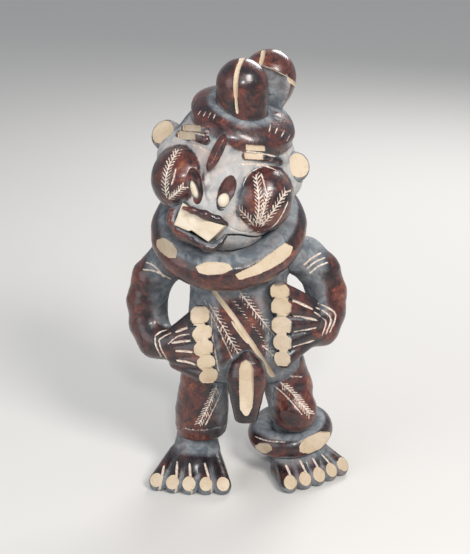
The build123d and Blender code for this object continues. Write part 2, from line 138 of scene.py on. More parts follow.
def hand_wobble(P):
    """The slow unevenness that a knife leaves."""
    w = np.zeros(len(P), P.dtype)
    for k, ph, a in WAVES:
        w += 0.5 * a * np.sin(P @ k.astype(P.dtype) + ph).astype(P.dtype)
    return w


# ------------------------------------------------------------------ carving marks
def press(f, pts, lo=560.0, hi=960.0):
    """Sheet points pressed along the sight line onto body f: positions and outward normals."""
    ab = np.asarray(pts, float)
    d = FWD * REACH + ab[:, :1] * RIGHT + ab[:, 1:] * UP
    d /= np.linalg.norm(d, axis=1, keepdims=True)
    t = np.full(len(ab), lo)
    best, bt = np.full(len(ab), 1e9), t.copy()
    for _ in range(160):
        v = f(EYE + d * t[:, None])
        near = v < best
        best, bt = np.where(near, v, best), np.where(near, t, bt)
        t = np.where(v > 0.01, t + np.maximum(v, 0.01) * 0.85, t)
        if (v <= 0.01).all():
            break
        t = np.minimum(t, hi)
    q = EYE + d * bt[:, None]
    n = gradient(f, q)
    q = q - n * f(q)[:, None] * 0.95
    return q, gradient(f, q)


def gradient(f, q, e=0.25):
    g = np.stack([f(q + np.eye(3)[i] * e) - f(q - np.eye(3)[i] * e) for i in range(3)], 1)
    return g / (np.linalg.norm(g, axis=1, keepdims=True) + 1e-9)


class Piece:
    def __init__(self, name, body, lo, hi, material="dark", seats=(), seat_k=0.5, wobble=1.0, replaces=None):
        self.name, self.raw, self.lo, self.hi = name, body, np.array(lo, float), np.array(hi, float)
        self.material, self.seats, self.seat_k, self.wob = material, list(seats), seat_k, wobble
        self.cuts, self.lines, self.spots = [], [], []
        self.nodes = replaces or [name]
        self.tone = None                 # P -> (dust, chalk, glow)

    def body(self, P):
        return self.raw(P) + self.wob * hand_wobble(P) if self.wob else self.raw(P)

    # planar facet bounded by a polygon on the sheet
    def facet(self, poly, depth=0.45, tilt=None, edge=0.6, cream=1.0, slack=14.0, at=None):
        poly = np.asarray(poly, float)
        dense = np.concatenate([np.linspace(poly[i], poly[(i + 1) % len(poly)], 5)[:-1] for i in range(len(poly))])
        q, n = press(self.body, dense)
        c = q.mean(0)
        nm = unit(n.mean(0))
        if tilt is None:
            u, s, vt = np.linalg.svd(q - c)
            nn = vt[2] * (1 if vt[2] @ nm > 0 else -1)
            nn = unit(nn * 0.75 + nm * 0.25)
        else:
            nn = unit(tilt)
        self.cuts.append(("facet", poly, c - nn * depth if at is None else np.asarray(at, float), nn, edge, cream, c, np.abs(q - c).max() + slack))
        return self

    # a half space, everywhere within radius of a point
    def plane(self, p, n, radius=60.0, cream=1.0, edge=0.6):
        self.cuts.append(("plane", None, np.array(p, float), unit(n), edge, cream, np.array(p, float), radius))
        return self

    # a round-bottomed groove along sheet points
    def line(self, pts, width=1.1, depth=0.45, line_mark=1.0, cream=0.0, taper=True, smooth=True):
        pts = np.asarray(pts, float)
        if len(pts) > 2 and smooth:
            pts = spline(pts, 3)
        q, n = press(self.body, pts)
        h = width / 2
        r = (h * h + depth * depth) / (2 * depth)
        c = q + n * (r - depth)
        rr = np.full(len(q), r)
        if taper and len(q) > 1:
            lift = np.abs(np.linspace(-1, 1, len(q))) ** 6 * depth * 0.55
            c = c + n * lift[:, None]
        self.lines.append((c, rr, line_mark, cream))
        return self

    def fern(self, stem, n=9, leaf=3.2, spread=38, width=0.8, depth=0.34, side=0, draw_stem=True, line_mark=1.0):
        stem = spline(np.asarray(stem, float), 6)
        if draw_stem:
            self.line(stem[::2], width * 0.9, depth * 0.9, line_mark, smooth=False)
        seg = np.linalg.norm(np.diff(stem, axis=0), axis=1)
        s = np.concatenate([[0], np.cumsum(seg)])
        for i in range(n):
            u = s[-1] * (0.06 + 0.9 * i / max(n - 1, 1))
            p = np.array([np.interp(u, s, stem[:, 0]), np.interp(u, s, stem[:, 1])])
            p2 = np.array([np.interp(u + 0.6, s, stem[:, 0]), np.interp(u + 0.6, s, stem[:, 1])])
            p1 = np.array([np.interp(u - 0.6, s, stem[:, 0]), np.interp(u - 0.6, s, stem[:, 1])])
            d = unit(np.append(p2 - p1, 0))[:2]
            for sg in (-1, 1):
                if side and sg != side:
                    continue
                a = math.radians(spread) * sg
                e = np.array([d[0] * math.cos(a) - d[1] * math.sin(a), d[0] * math.sin(a) + d[1] * math.cos(a)])
                j = RNG.uniform(0.85, 1.15)
                st = p + e * 0.55
                self.line([st, st + e * leaf * j], width, depth, line_mark, smooth=False)
        return self

    def spot(self, ab, radius, dust=0.0, glow=0.0, y=None):
        p = press(self.body, [ab])[0][0] if y is None else at_y(ab, y)
        self.spots.append((p, radius, dust, glow))
        return self

    def est(self, P):
        f = self.body(P)
        for s in self.seats:
            f = np.maximum(f, -s(P))
        return f

    def fields(self, P):
        """Body, after the facets, after the lines, after the seats; and the pale share and the line marks, whose
        negative values are painted shadow in black cuts.
        """
        P = P.astype(np.float32) if P.dtype != np.float32 else P
        f1 = self.body(P).astype(np.float32)
        f2 = f1.copy()
        cream = np.zeros(len(P), np.float32)
        for kind, poly, p, n, edge, pale, c, rad in self.cuts:
            m = np.flatnonzero((np.abs(P - c.astype(np.float32)).max(1) < rad) & (f2 < 3.0))
            if not len(m):
                continue
            Q = P[m]
            d = ((Q - p) @ n).astype(np.float32)
            if kind == "facet":
                a, b = sheet_of(Q.astype(float))
                d = np.minimum(d, -poly_distance(a, b, poly))
            before = f2[m]
            after = smax(before, d, edge * 0.5)
            f2[m] = after
            if pale > 0:
                cream[m] = np.maximum(cream[m], pale * np.clip((after - f1[m] - 0.03) / 0.22, 0, 1) * (d > before - 0.3))
            else:
                cream[m] = np.where((d > before) & (after - before > 0.1), 0, cream[m])
        f3 = f2.copy()
        line_mark = np.zeros(len(P), np.float32)
        for c, rr, mark_value, pale in self.lines:
            lo, hi = (c - rr[:, None] - 0.6).min(0), (c + rr[:, None] + 0.6).max(0)
            m = np.flatnonzero(((P > lo.astype(np.float32)) & (P < hi.astype(np.float32))).all(1))
            if not len(m):
                continue
            Q = P[m]
            d = np.full(len(Q), 1e3, np.float32)
            for i in range(max(len(c) - 1, 1)):
                j = min(i + 1, len(c) - 1)
                d = np.minimum(d, capsule(Q, c[i], c[j], rr[i], rr[j]))
            after = smax(f3[m], -d, 0.18)
            cut = after - f2[m]
            f3[m] = after
            share = np.clip((cut - 0.04) / 0.2, 0, 1)
            if mark_value > 0:
                line_mark[m] = np.maximum(line_mark[m], share * mark_value)
            elif mark_value < 0:                  # a black cut, painted near-black: painted shadow in a narrow crack or gap
                line_mark[m] = np.where(share > 0.1, share * mark_value, line_mark[m])
            if pale:
                cream[m] = np.maximum(cream[m], share * pale)
        f4 = f3
        for s in self.seats:
            f4 = smax(f4, -s(P).astype(np.float32), self.seat_k)
        return f1, f4, cream, line_mark


def spline(pts, k):
    pts = np.asarray(pts, float)
    if len(pts) < 3:
        return np.linspace(pts[0], pts[-1], k * 2 + 1)
    ext = np.vstack([2 * pts[0] - pts[1], pts, 2 * pts[-1] - pts[-2]])
    out = []
    for i in range(1, len(ext) - 2):
        p0, p1, p2, p3 = ext[i - 1:i + 3]
        for t in np.arange(k) / k:
            out.append(0.5 * (2 * p1 + (p2 - p0) * t + (2 * p0 - 5 * p1 + 4 * p2 - p3) * t * t + (3 * p1 - p0 - 3 * p2 + p3) * t ** 3))
    out.append(pts[-1])
    return np.array(out)


def poly_distance(x, y, poly):
    """Signed distance to a polygon, negative inside."""
    n = len(poly)
    d = np.full(len(x), 1e9)
    inside = np.zeros(len(x), bool)
    for i in range(n):
        (x0, y0), (x1, y1) = poly[i], poly[(i + 1) % n]
        ex, ey = x1 - x0, y1 - y0
        t = np.clip(((x - x0) * ex + (y - y0) * ey) / max(ex * ex + ey * ey, 1e-9), 0, 1)
        d = np.minimum(d, (x - x0 - t * ex) ** 2 + (y - y0 - t * ey) ** 2)
        c = (y0 > y) != (y1 > y)
        xi = x0 + (y - y0) * ex / (ey if abs(ey) > 1e-9 else 1e-9)
        inside ^= c & (x < xi)
    return np.where(inside, -1.0, 1.0) * np.sqrt(d)

# ------------------------------------------------------------------ shapes of the pieces
TORSO = np.array([  # z, half width, half depth, centre x, centre y
    (62.0, 20.0, 13.0, 5.0, 0.0), (71.0, 30.5, 19.0, 5.0, 0.0), (80.0, 36.0, 22.5, 4.5, 0.0), (92.0, 37.0, 25.5, 3.5, -0.5),
    (107.0, 34.0, 27.5, 2.5, -1.0), (124.0, 32.0, 26.5, 2.5, -0.5), (141.0, 31.0, 24.0, 2.5, 0.5),
    (155.0, 29.0, 22.0, 2.0, 1.0), (166.0, 22.0, 18.0, 1.0, 1.0)])
COLLAR_O, COLLAR_N = np.array([-4.0, -5.0, 175.5]), unit((-0.075, -0.440, 0.895))
COLLAR_R, COLLAR_TUBE = 37.0, 12.2


def torso_core(P):
    z = P[:, 2]
    hw, hd, cx, cy = (np.interp(z, TORSO[:, 0], TORSO[:, i]).astype(P.dtype) for i in (1, 2, 3, 4))
    x, y = P[:, 0] - cx, P[:, 1] - cy
    k0 = np.sqrt((x / hw) ** 2 + (y / hd) ** 2)
    k1 = np.sqrt((x / hw ** 2) ** 2 + (y / hd ** 2) ** 2) + 1e-6
    d = k0 * (k0 - 1) / k1 * 0.92
    d = smax(d, 70.5 - z, 7.0)
    return smax(d, z - 165.0, 5.0)


def neck(P):
    return capsule(P, (0, 2, 150), (0, 2, 176), 17.5)


def torso_body(P):
    d = smin(torso_core(P), neck(P), 5.0)
    # shoulders run out towards the arms
    d = smin(d, capsule(P, (-20, 4, 154), (-34, 5, 151), 10.5), 8.0)
    d = smin(d, capsule(P, (22, 4, 157), (35, 5, 154), 10.5), 8.0)
    # hips
    d = smin(d, ellipsoid(P, (25, -4, 84), (17, 17, 13)), 7.0)
    return smin(d, ellipsoid(P, (-17, -2, 84), (16, 18, 12)), 7.0)


def collar_body(P):
    d = torus(P, COLLAR_O, COLLAR_N, COLLAR_R, COLLAR_TUBE)
    return d


def web_body(P):
    return disc(P, COLLAR_O, COLLAR_N, 33.0, -9.0, 2.6, 1.5)


def collar_all(P):
    d = smin(collar_body(P), web_body(P), 7.0)
    return d


SKULL_O = np.array([-1.0, 3.0, 222.0])
CAP_O, CAP_N = np.array([5.0, -3.0, 245.0]), unit((0.31, -0.24, 0.92))
CHEEK_R_O, CHEEK_L_O = np.array([-31.5, -21.5, 213.0]), np.array([16.0, -26.0, 202.0])
NOSE_T, NOSE_B = None, None


def face_core(P):
    d = sphere(P, SKULL_O, 37.0)
    d = smin(d, sphere(P, (-5.0, -12.5, 232.5), 23.5), 6.0)
    d = smin(d, sphere(P, (-9.5, -25.0, 212.0), 18.8), 7.0)
    # muzzle above the mouth
    d = smin(d, ellipsoid(P, (-15.0, -33.0, 199.5), (16.0, 13.5, 10.5), basis((0.30, 0, 0.95))), 6.0)
    return d


def head_body(P):
    d = face_core(P)
    cap = ellipsoid(P, CAP_O, (33.0, 33.0, 13.0), basis(CAP_N))
    d = smin(d, cap, 3.0)
    d = smin(d, sphere(P, CHEEK_R_O, 19.4), 2.6)
    d = smin(d, ellipsoid(P, CHEEK_L_O, (19.0, 19.6, 20.6)), 2.6)
    # pads behind the cheeks, up to the ears
    d = smin(d, sphere(P, (-33.0, -3.0, 222.0), 15.0), 8.0)
    d = smin(d, sphere(P, (26.0, -6.0, 209.0), 16.0), 8.0)
    # throat on the neck and the ring's web
    d = smin(d, disc(P, COLLAR_O + COLLAR_N * 4, COLLAR_N, 26.0, -2.0, 22.0, 3.0), 9.0)
    d = smin(d, capsule(P, (-15, -24, 186), (4, -24, 182), 11.0, 10.0), 8.0)
    return d


def collar_seat(P):
    return smin(collar_body(P), web_body(P) , 7.0) - 0.12


# mouth frame: x along the bite (down to the figure's left), z out of the face
MOUTH_O = np.array([-19.6, -40.5, 190.6])
MOUTH = np.stack([unit((0.925, -0.18, -0.335)), unit((0.38, 0.16, 0.91)), unit((-0.20, -0.95, 0.24))])
MOUTH[1] = unit(MOUTH[1] - MOUTH[0] * (MOUTH[1] @ MOUTH[0]) - MOUTH[2] * (MOUTH[1] @ MOUTH[2]))
MOUTH[0] = np.cross(MOUTH[1], MOUTH[2])


def local(P, o, axes):
    return (P - np.asarray(o, P.dtype)) @ np.asarray(axes, P.dtype).T


def tooth_shape(P):
    q = local(P, MOUTH_O, MOUTH)
    x, y, z = q[:, 0], q[:, 1], q[:, 2]
    # the bite edge steps up under the left half
    low = -6.0 + 1.4 / (1 + np.exp(np.clip(-(x + 3.6) * 3.0, -30, 30))) - 0.21 * np.maximum(x + 3.6, 0)
    top = 6.0 - 0.11 * x - 0.9 * np.cos(x * 0.22)
    d = np.maximum(np.abs(x + 0.2) - 14.2, np.maximum(low - y, y - top))
    d = np.maximum(d, (x - 14.2 - (y - 4.5) * 0.46) * 0.9)
    face = 9.0 + 0.5 * np.cos(x * 0.16) - 0.35 * np.abs(y) * 0.15
    d = smax(d, z - face, 1.0)
    d = smax(d, -11.0 - z, 0.6)
    return d * 0.93


def jaw_shape(P):
    q = local(P, MOUTH_O, MOUTH)
    x, y, z = q[:, 0], q[:, 1], q[:, 2]
    # a lip that wraps the slab's outer end and runs under it
    d = 1e3
    pts = [(-15.6, 4.2, 1.0, 2.2), (-18.2, 0.0, 3.0, 2.9), (-17.2, -4.6, 4.2, 3.0), (-12.5, -8.2, 5.0, 2.4), (0.0, -9.6, 5.6, 2.3),
           (8.0, -11.0, 5.4, 2.5), (12.0, -10.4, 4.4, 2.2), (14.6, -6.0, 2.5, 1.7), (16.0, -1.0, 1.0, 1.3)]
    d = None
    for (x0, y0, z0, r0), (x1, y1, z1, r1) in zip(pts[:-1], pts[1:]):
        c = capsule(q, (x0, y0, z0), (x1, y1, z1), r0, r1)
        d = c if d is None else smin(d, c, 1.6)
    shelf = block(q, (-1.0, -10.8, -5.0), np.eye(3), (13.5, 3.1, 7.4), 1.6)
    return smin(d, shelf, 2.5)


def rear_cut():
    a, b, c = at_y((18.1, 135.5), 0.5), at_y((40.6, 122.5), 1.5), at_y((25.2, 110.3), 4.6)
    n = unit(np.cross(b - a, c - a))
    return a, (n if n[1] < 0 else -n)


KNOB_F = np.array([4.3, -11.0, 266.0])
KNOB_B = np.array([20.5, 13.0, 266.0])


def knob_front_body(P):
    d = capsule(P, (4.4, -11.0, 247.0), (4.3, -11.0, 268.2), 15.3, 15.6)
    return smax(d, 249.4 - P[:, 2], 1.2)


def knob_rear_body(P):
    d = ellipsoid(P, KNOB_B, (17.2, 16.5, 18.6), basis((0.30, 0.0, 0.95)))
    d = smin(d, capsule(P, (14, 12, 246), (17, 13, 258), 13.0, 13.5), 6.0)
    return d


def ear_axes(direction):
    return basis(direction)


EAR_L, EAR_L_N = np.array([38.3, -13.5, 219.2]), unit((0.42, -0.72, 0.54))
EAR_R, EAR_R_N = np.array([-44.6, 1.0, 236.0]), unit((-0.50, -0.62, 0.62))


def ear_left_body(P):
    d = disc(P, EAR_L - EAR_L_N * 6.0, EAR_L_N, 9.3, -9.0, 6.2, 3.4)
    return smin(d, sphere(P, EAR_L - EAR_L_N * 8.5, 9.0), 3.0)


def ear_right_body(P):
    d = disc(P, EAR_R - EAR_R_N * 6.0, EAR_R_N, 9.4, -9.0, 6.2, 3.6)
    return smin(d, sphere(P, EAR_R - EAR_R_N * 8.5, 9.2), 3.0)


def chain(P, pts, k):
    d = None
    for (a, ra), (b, rb) in zip(pts[:-1], pts[1:]):
        c = capsule(P, a, b, ra, rb)
        d = c if d is None else smin(d, c, k)
    return d


ARM_R_CHAIN = [((-30, 4, 153), 12.0), ((-44, 5, 149), 12.2), ((-53.5, 5, 138), 12.4), ((-57.5, 4, 122), 12.2), ((-56.5, 0.5, 107), 12.0), ((-51.5, -6, 98.5), 11.4), ((-43.5, -12.5, 99.0), 9.6)]
ARM_L_CHAIN = [((31, 4, 156), 12.0), ((45, 5, 152), 12.4), ((55.0, 5, 142), 12.4), ((59.3, 4, 128), 12.2), ((59.5, 0.5, 115), 11.6), ((55.8, -6, 107.0), 11.0), ((49.0, -12, 107.5), 9.4)]
FINGERS_R = [  # knuckle, tip on the sheet, with depths; nails end the tips
    (((-38.1, -36.1), -17.5), ((-22.6, -24.5), -25.5)), (((-38.7, -40.6), -18.5), ((-20.6, -35.5), -27.0)), (((-38.7, -46.4), -19.0), ((-19.4, -45.1), -28.0)),
    (((-38.1, -51.6), -18.5), ((-18.7, -54.2), -28.0)), (((-37.4, -54.8), -17.0), ((-17.4, -63.2), -27.5))]
FINGERS_L = [
    (((49.0, -18.1), -17.0), ((28.4, -9.0), -24.5)), (((50.3, -22.6), -18.0), ((29.0, -18.7), -26.5)), (((51.0, -29.0), -18.5), ((29.7, -31.0), -27.8)),
    (((50.3, -34.8), -18.5), ((31.0, -41.9), -28.0)), (((48.4, -39.3), -17.0), ((31.6, -52.2), -27.5))]


def hand(P, fingers, wrist, rw, r0, r1):
    d = capsule(P, wrist[0], wrist[1], rw[0], rw[1])
    mid = None
    for (k, ky), (t, ty) in fingers:
        a, b = at_y(k, ky), at_y(t, ty)
        c = capsule(P, a, b, r0, r1)
        mid = c if mid is None else smin(mid, c, 1.2)
    return smin(d, mid, 4.0)


def arm_right_body(P):
    d = chain(P, ARM_R_CHAIN, 5.0)
    return smin(d, hand(P, FINGERS_R, ((-46, -9.5, 97.5), (-37.0, -14.0, 100.0)), (10.0, 9.0), 5.4, 6.5), 4.0)


def arm_left_body(P):
    d = chain(P, ARM_L_CHAIN, 5.0)
    return smin(d, hand(P, FINGERS_L, ((51, -9.5, 108.5), (43.0, -14.0, 112.5)), (10.0, 9.0), 5.2, 6.5), 4.0)


def leg_right_body(P):
    prof = np.array([(27.2, 15.2), (30.0, 16.9), (36.0, 17.8), (46.0, 18.0), (56.0, 17.2), (66.0, 16.2), (76.0, 15.6), (92.0, 14.0)])
    z = P[:, 2]
    r = np.interp(z, prof[:, 0], prof[:, 1]).astype(P.dtype)
    cx = -22.3 + np.interp(z, (27, 45, 80), (-0.6, 0.0, 2.8)).astype(P.dtype)
    d = np.sqrt((P[:, 0] - cx) ** 2 + (P[:, 1] + 1.0) ** 2) - r
    d = smax(d * 0.97, 27.2 - z, 2.4)
    return smax(d, z - 84.0, 9.0)


def leg_left_body(P):
    d = chain(P, [((36.5, -1.0, 44.0), 13.6), ((36.0, 0.5, 60.0), 14.8), ((31.5, 1.0, 78.0), 15.0)], 6.0)
    d = smin(d, ellipsoid(P, (40.6, -8.2, 47.5), (14.4, 14.2, 15.4)), 3.2)
    return smax(d, 34.3 - P[:, 2], 2.0)


def foot_parts(ankle, turn, reach, toe_w, spread):
    a = math.radians(turn)
    ax = np.array([[math.cos(a), math.sin(a), 0], [-math.sin(a), math.cos(a), 0], [0, 0, 1.0]])
    toes = []
    for i in range(5):
        u = (i - 2) / 2
        tip = np.array([u * (toe_w / 2 - 5.6), -(reach - 6.0) + 2.2 * abs(u) ** 1.7, 5.6])
        root = np.array([u * spread, -13.0 + 1.5 * abs(u), 13.5])
        toes.append((root, tip))
    return ax, np.array([ankle[0], ankle[1], 0.0]), toes


FOOT_R = foot_parts((-26.0, 1.5), -6.5, 41.0, 54.0, 11.5)
FOOT_L = foot_parts((37.0, 6.0), 31.5, 39.5, 52.5, 12.0)


def foot_shape(P, parts, heel_w, stub_r, stub_top, instep):
    ax, o, toes = parts
    q = local(P, o, ax)
    z = q[:, 2]
    d = chain(q, [((0, 6.5, 7.0), heel_w / 2 - 2.5), ((0, -2.0, 9.0), heel_w / 2 - 1.0), ((0, -16.0, 6.0), heel_w / 2 + 0.5)], 6.0)
    d = smin(d, capsule(q, (0, 0, instep - 10), (0, 0, stub_top + 8), stub_r), 7.0)
    t = None
    for root, tip in toes:
        c = smin(capsule(q, root, tip, 7.0, 5.9), capsule(q, (root[0] * 1.2, root[1], 5), (tip[0], tip[1], 4.0), 6.5, 5.8), 1.0)
        t = c if t is None else smin(t, c, 0.9)
    d = smin(d, t, 3.5)
    d = smax(d, -z, 0.7)
    return smax(d, z - stub_top, 1.2)


def foot_right_body(P):
    return foot_shape(P, FOOT_R, 30.0, 13.6, 27.0, 22.0)


def foot_left_body(P):
    return foot_shape(P, FOOT_L, 29.0, 11.0, 34.0, 19.0)


ANKLET_O, ANKLET_N = np.array([37.8, 6.0, 25.0]), unit((-0.12, -0.05, 0.99))


def anklet_body(P):
    return torus(P, ANKLET_O, ANKLET_N, 20.4, 8.6)


TONGUE_O = np.array([7.3, -37.5, 80.0])
TONGUE = np.stack([unit((1, 0, 0)), unit((0, 0.19, 0.98)), unit((0, -0.98, 0.19))])


def tongue_body(P):
    q = local(P, TONGUE_O, TONGUE)
    x, y, z = q[:, 0] - 0.012 * q[:, 1], q[:, 1], q[:, 2]
    hw = np.interp(y, (-24, -10, 2, 8, 14, 19, 25), (7.2, 10.4, 13.2, 13.0, 10.6, 6.4, 3.0)).astype(P.dtype)
    front = 2.2 - 0.034 * x * x - np.interp(y, (-25, 6, 15, 25), (0.0, 0.0, 2.4, 9.0)).astype(P.dtype)
    d = smax(np.abs(x) - hw, z - front, 5.5)
    d = smax(d, -14.0 - z, 3.0)
    d = smax(d, np.abs(y + 0.5) - 24.0, 2.0)
    return d * 0.86


def eye_frame(top, bottom, at, lift):
    """Axes of an eye: across, along, out of the face; and its centre, lifted off the cheek."""
    q, n = press(head_body, [top, bottom, at])
    long = unit(q[0] - q[1])
    out = unit(n[2] - long * (n[2] @ long))
    return q[2] + n[2] * lift, np.stack([np.cross(long, out), long, out])


SOCKET_R = eye_frame((-25.8, 69.0), (-22.9, 49.0), (-26.1, 58.7), 0.5)
SOCKET_L = eye_frame((-1.9, 63.9), (-8.7, 44.5), (-5.6, 54.2), 0.5)
LENS_R = eye_frame((-28.7, 62.6), (-24.5, 50.3), (-26.3, 55.8), -1.5)
LENS_L = eye_frame((-6.1, 52.2), (-8.1, 45.8), (-7.2, 49.1), -1.3)


def eye_right_body(P):
    return ellipsoid(P, LENS_R[0], (2.4, 6.0, 2.5), LENS_R[1])


def eye_left_body(P):
    return ellipsoid(P, LENS_L[0], (3.7, 4.5, 2.8), LENS_L[1])


# ------------------------------------------------------------------ face details that stand proud
def pressed_chain(P, pts, k=1.2):
    d = None
    for (a, ra), (b, rb) in zip(pts[:-1], pts[1:]):
        c = capsule(P, a, b, ra, rb)
        d = c if d is None else smin(d, c, k)
    return d


def on_face(pts, radii, lift):
    q, n = press(face_core, pts)
    return [(q[i] + n[i] * lift, radii[i]) for i in range(len(q))]


BROWS = [
    on_face([(-32.2, 96.1), (-18.7, 93.5)], (2.5, 2.0), 0.1), on_face([(-34.8, 91.6), (-18.7, 88.4)], (3.0, 2.6), 0.1),
    on_face([(7.7, 83.5), (18.1, 82.2), (27.1, 80.0)], (2.5, 2.4, 1.8), 0.1), on_face([(7.1, 78.4), (18.1, 77.1), (28.4, 74.2)], (2.5, 2.6, 2.2), 0.1)]
NA, NB = at_y((-6.9, 90.3), -35.2), at_y((-16.9, 69.7), -42.8)
NOSE_AX = np.stack([unit(np.cross(unit(NA - NB), (0.15, -0.9, 0.4))), unit(NA - NB), unit((0.15, -0.9, 0.4))])
NOSE_AX[2] = np.cross(NOSE_AX[0], NOSE_AX[1])
NOSE_LINE = on_face([(-18.4, 70.3), (-18.7, 61.3), (-17.4, 51.0)], (1.6, 1.15, 0.8), 0.0)
LIP = [(at_y(ab, y), r) for ab, y, r in (((-32.9, 44.5), -45.0, 1.3), ((-27.7, 43.2), -48.0, 2.0), ((-19.4, 40.3), -49.4, 2.5), ((-11.0, 37.1), -48.8, 2.2), ((-5.8, 34.2), -46.2, 1.4))]


def head_full(P):
    d = head_body(P)
    m = np.flatnonzero((P[:, 1] < -8) & (d < 9))
    if len(m):
        Q, e = P[m], d[m]
        for b in BROWS:
            e = smin(e, pressed_chain(Q, b), 1.0)
        nose = ellipsoid(Q, (NA + NB) / 2, (3.3, np.linalg.norm(NA - NB) / 2 + 1.4, 5.6), NOSE_AX)
        qx = np.abs((Q - ((NA + NB) / 2).astype(Q.dtype)) @ NOSE_AX[0].astype(Q.dtype))
        nose = smax(nose, ((Q - ((NA + NB) / 2).astype(Q.dtype)) @ NOSE_AX[2].astype(Q.dtype)) - 4.4 + qx * 0.8, 0.8)
        e = smin(e, nose, 0.9)
        e = smin(e, pressed_chain(Q, NOSE_LINE), 1.4)
        e = smin(e, pressed_chain(Q, LIP, 2.0), 1.6)
        for (c, ax), r in ((SOCKET_R, (4.4, 10.4, 2.7)), (SOCKET_L, (4.9, 10.8, 2.9))):
            e = smax(e, -ellipsoid(Q, c, r, ax), 0.9)
        d = d.copy()
        d[m] = e
    return d


# ------------------------------------------------------------------ the pieces and their seats
def grown(f, g=0.12):
    return lambda P: f(P) - g


head = Piece("head", head_full, (-58, -52, 160), (52, 46, 266), wobble=0.8)
torso = Piece("torso", torso_body, (-46, -34, 66), (52, 34, 190))
collar = Piece("collar_ring", collar_all, (-60, -58, 140), (52, 46, 212), wobble=1.1)
arm_r = Piece("arm_right", arm_right_body, (-76, -40, 70), (-8, 26, 172))
arm_l = Piece("arm_left", arm_left_body, (8, -40, 76), (78, 26, 174))
leg_r = Piece("leg_right", leg_right_body, (-46, -24, 24), (4, 22, 90))
leg_l = Piece("leg_left", leg_left_body, (12, -28, 28), (60, 24, 100))
foot_r = Piece("foot_right", foot_right_body, (-66, -48, -2), (4, 26, 30), wobble=0.6)
foot_l = Piece("foot_left", foot_left_body, (8, -44, -2), (82, 30, 38), wobble=0.6)
anklet = Piece("anklet_ring", anklet_body, (6, -26, 10), (70, 38, 40), wobble=0.8)
tongue = Piece("loincloth_tongue", tongue_body, (-10, -48, 50), (26, -12, 110), wobble=0.6)
knob_f = Piece("topknot_front", knob_front_body, (-14, -30, 246), (23, 8, 288), wobble=0.6)
knob_b = Piece("topknot_rear", knob_rear_body, (-2, -8, 240), (44, 34, 290), wobble=0.6)
ear_l = Piece("ear_left", ear_left_body, (20, -28, 200), (52, 8, 236), wobble=0.7)
ear_r = Piece("ear_right", ear_right_body, (-60, -16, 216), (-28, 18, 252), wobble=0.7)
tooth = Piece("tooth_plate", tooth_shape, (-40, -56, 176), (2, -24, 208), material="pale", wobble=0.5)
jaw = Piece("lower_jaw", jaw_shape, (-46, -56, 166), (4, -24, 204), wobble=0.5)
eye_r = Piece("eye_right", eye_right_body, (-34, -50, 200), (-14, -32, 226), material="pale", wobble=0.2)
eye_l = Piece("eye_left", eye_left_body, (-16, -52, 194), (4, -34, 218), material="pale", wobble=0.2)

RC = rear_cut()
knob_b.facet([(3.2, 138.7), (17.4, 135.8), (25.2, 133.2), (32.9, 129.0), (40.3, 124.2), (41.9, 114.2), (36.8, 102.6), (3.2, 102.6)], cream=0.0, edge=0.4, at=RC[0] + np.array([0, 0.2, 0]), tilt=RC[1])
knob_b.cuts[-1] = knob_b.cuts[-1][:-1] + (40.0,)
ear_l.plane(EAR_L - EAR_L_N * 0.25, EAR_L_N + np.array([0.02, 0.0, -0.03]), 16, 1.0, 0.6)
ear_r.plane(EAR_R - EAR_R_N * 0.25, EAR_R_N, 16, 1.0, 0.6)

collar.seats = [grown(torso_core), grown(neck)]
head.seats = [collar_seat, grown(neck), grown(tooth_shape, 0.15), grown(jaw_shape, 0.2), grown(knob_front_body), grown(knob_rear_body), grown(ear_left_body), grown(ear_right_body), grown(eye_right_body, 0.1), grown(eye_left_body, 0.1)]
torso.seats = []
arm_r.seats = [grown(torso_body), grown(collar_all)]
arm_l.seats = [grown(torso_body), grown(collar_all)]
leg_r.seats = [grown(torso_body), grown(arm_right_body), grown(foot_right_body)]
leg_l.seats = [grown(torso_body), grown(arm_left_body), grown(anklet_body), grown(foot_left_body)]
foot_l.seats = [grown(anklet_body)]
anklet.seats = []
tongue.seats = [grown(torso_body), grown(arm_right_body), grown(arm_left_body)]
knob_b.seats = [grown(knob_front_body, 0.5)]
ear_l.seats = []
ear_r.seats = []
tooth.seats = []
jaw.seats = [grown(tooth_shape, 0.15), grown(collar_all, 0.6)]

PIECES = [head, torso, collar, arm_r, arm_l, leg_r, leg_l, foot_r, foot_l, anklet, tongue, knob_f, knob_b, ear_l, ear_r, tooth, jaw, eye_r, eye_l]

# ------------------------------------------------------------------ pale knife-cut facets
collar.facet([(-50.3, 23.9), (-45.8, 25.2), (-40.6, 21.9), (-37.4, 16.8), (-38.1, 12.3), (-42.6, 12.3), (-47.7, 16.1), (-51.0, 20.0)], 0.5)
collar.facet([(-25.2, 6.5), (-19.4, 9.4), (-11.0, 9.7), (-3.9, 8.4), (-1.3, 5.2), (-8.4, 1.9), (-17.4, 1.3), (-23.2, 2.6)], 0.5)
collar.facet([(0.3, 1.6), (6.5, 4.8), (12.3, 7.4), (17.4, 5.8), (17.4, 2.6), (9.7, 0.3), (2.6, -1.9)], 0.5)
collar.facet([(11.0, 6.5), (16.8, 10.6), (21.9, 14.5), (29.0, 12.9), (29.0, 9.0), (23.0, 5.5), (14.8, 1.9)], 0.5)
collar.facet([(21.3, 13.5), (27.1, 18.4), (32.0, 21.9), (37.4, 19.4), (35.5, 14.2), (30.3, 9.7), (23.9, 6.5)], 0.5)
head.facet([(-33.5, 98.4), (-22.3, 97.7), (-21.9, 93.8), (-33.5, 94.5)], 0.9)
head.facet([(-37.1, 94.5), (-25.8, 92.9), (-25.5, 88.4), (-36.1, 89.0)], 0.9)
head.facet([(7.1, 85.5), (19.0, 84.5), (19.4, 81.3), (7.1, 81.9)], 0.9)
head.facet([(6.1, 80.3), (17.7, 79.3), (18.1, 75.8), (6.5, 76.4)], 0.9)
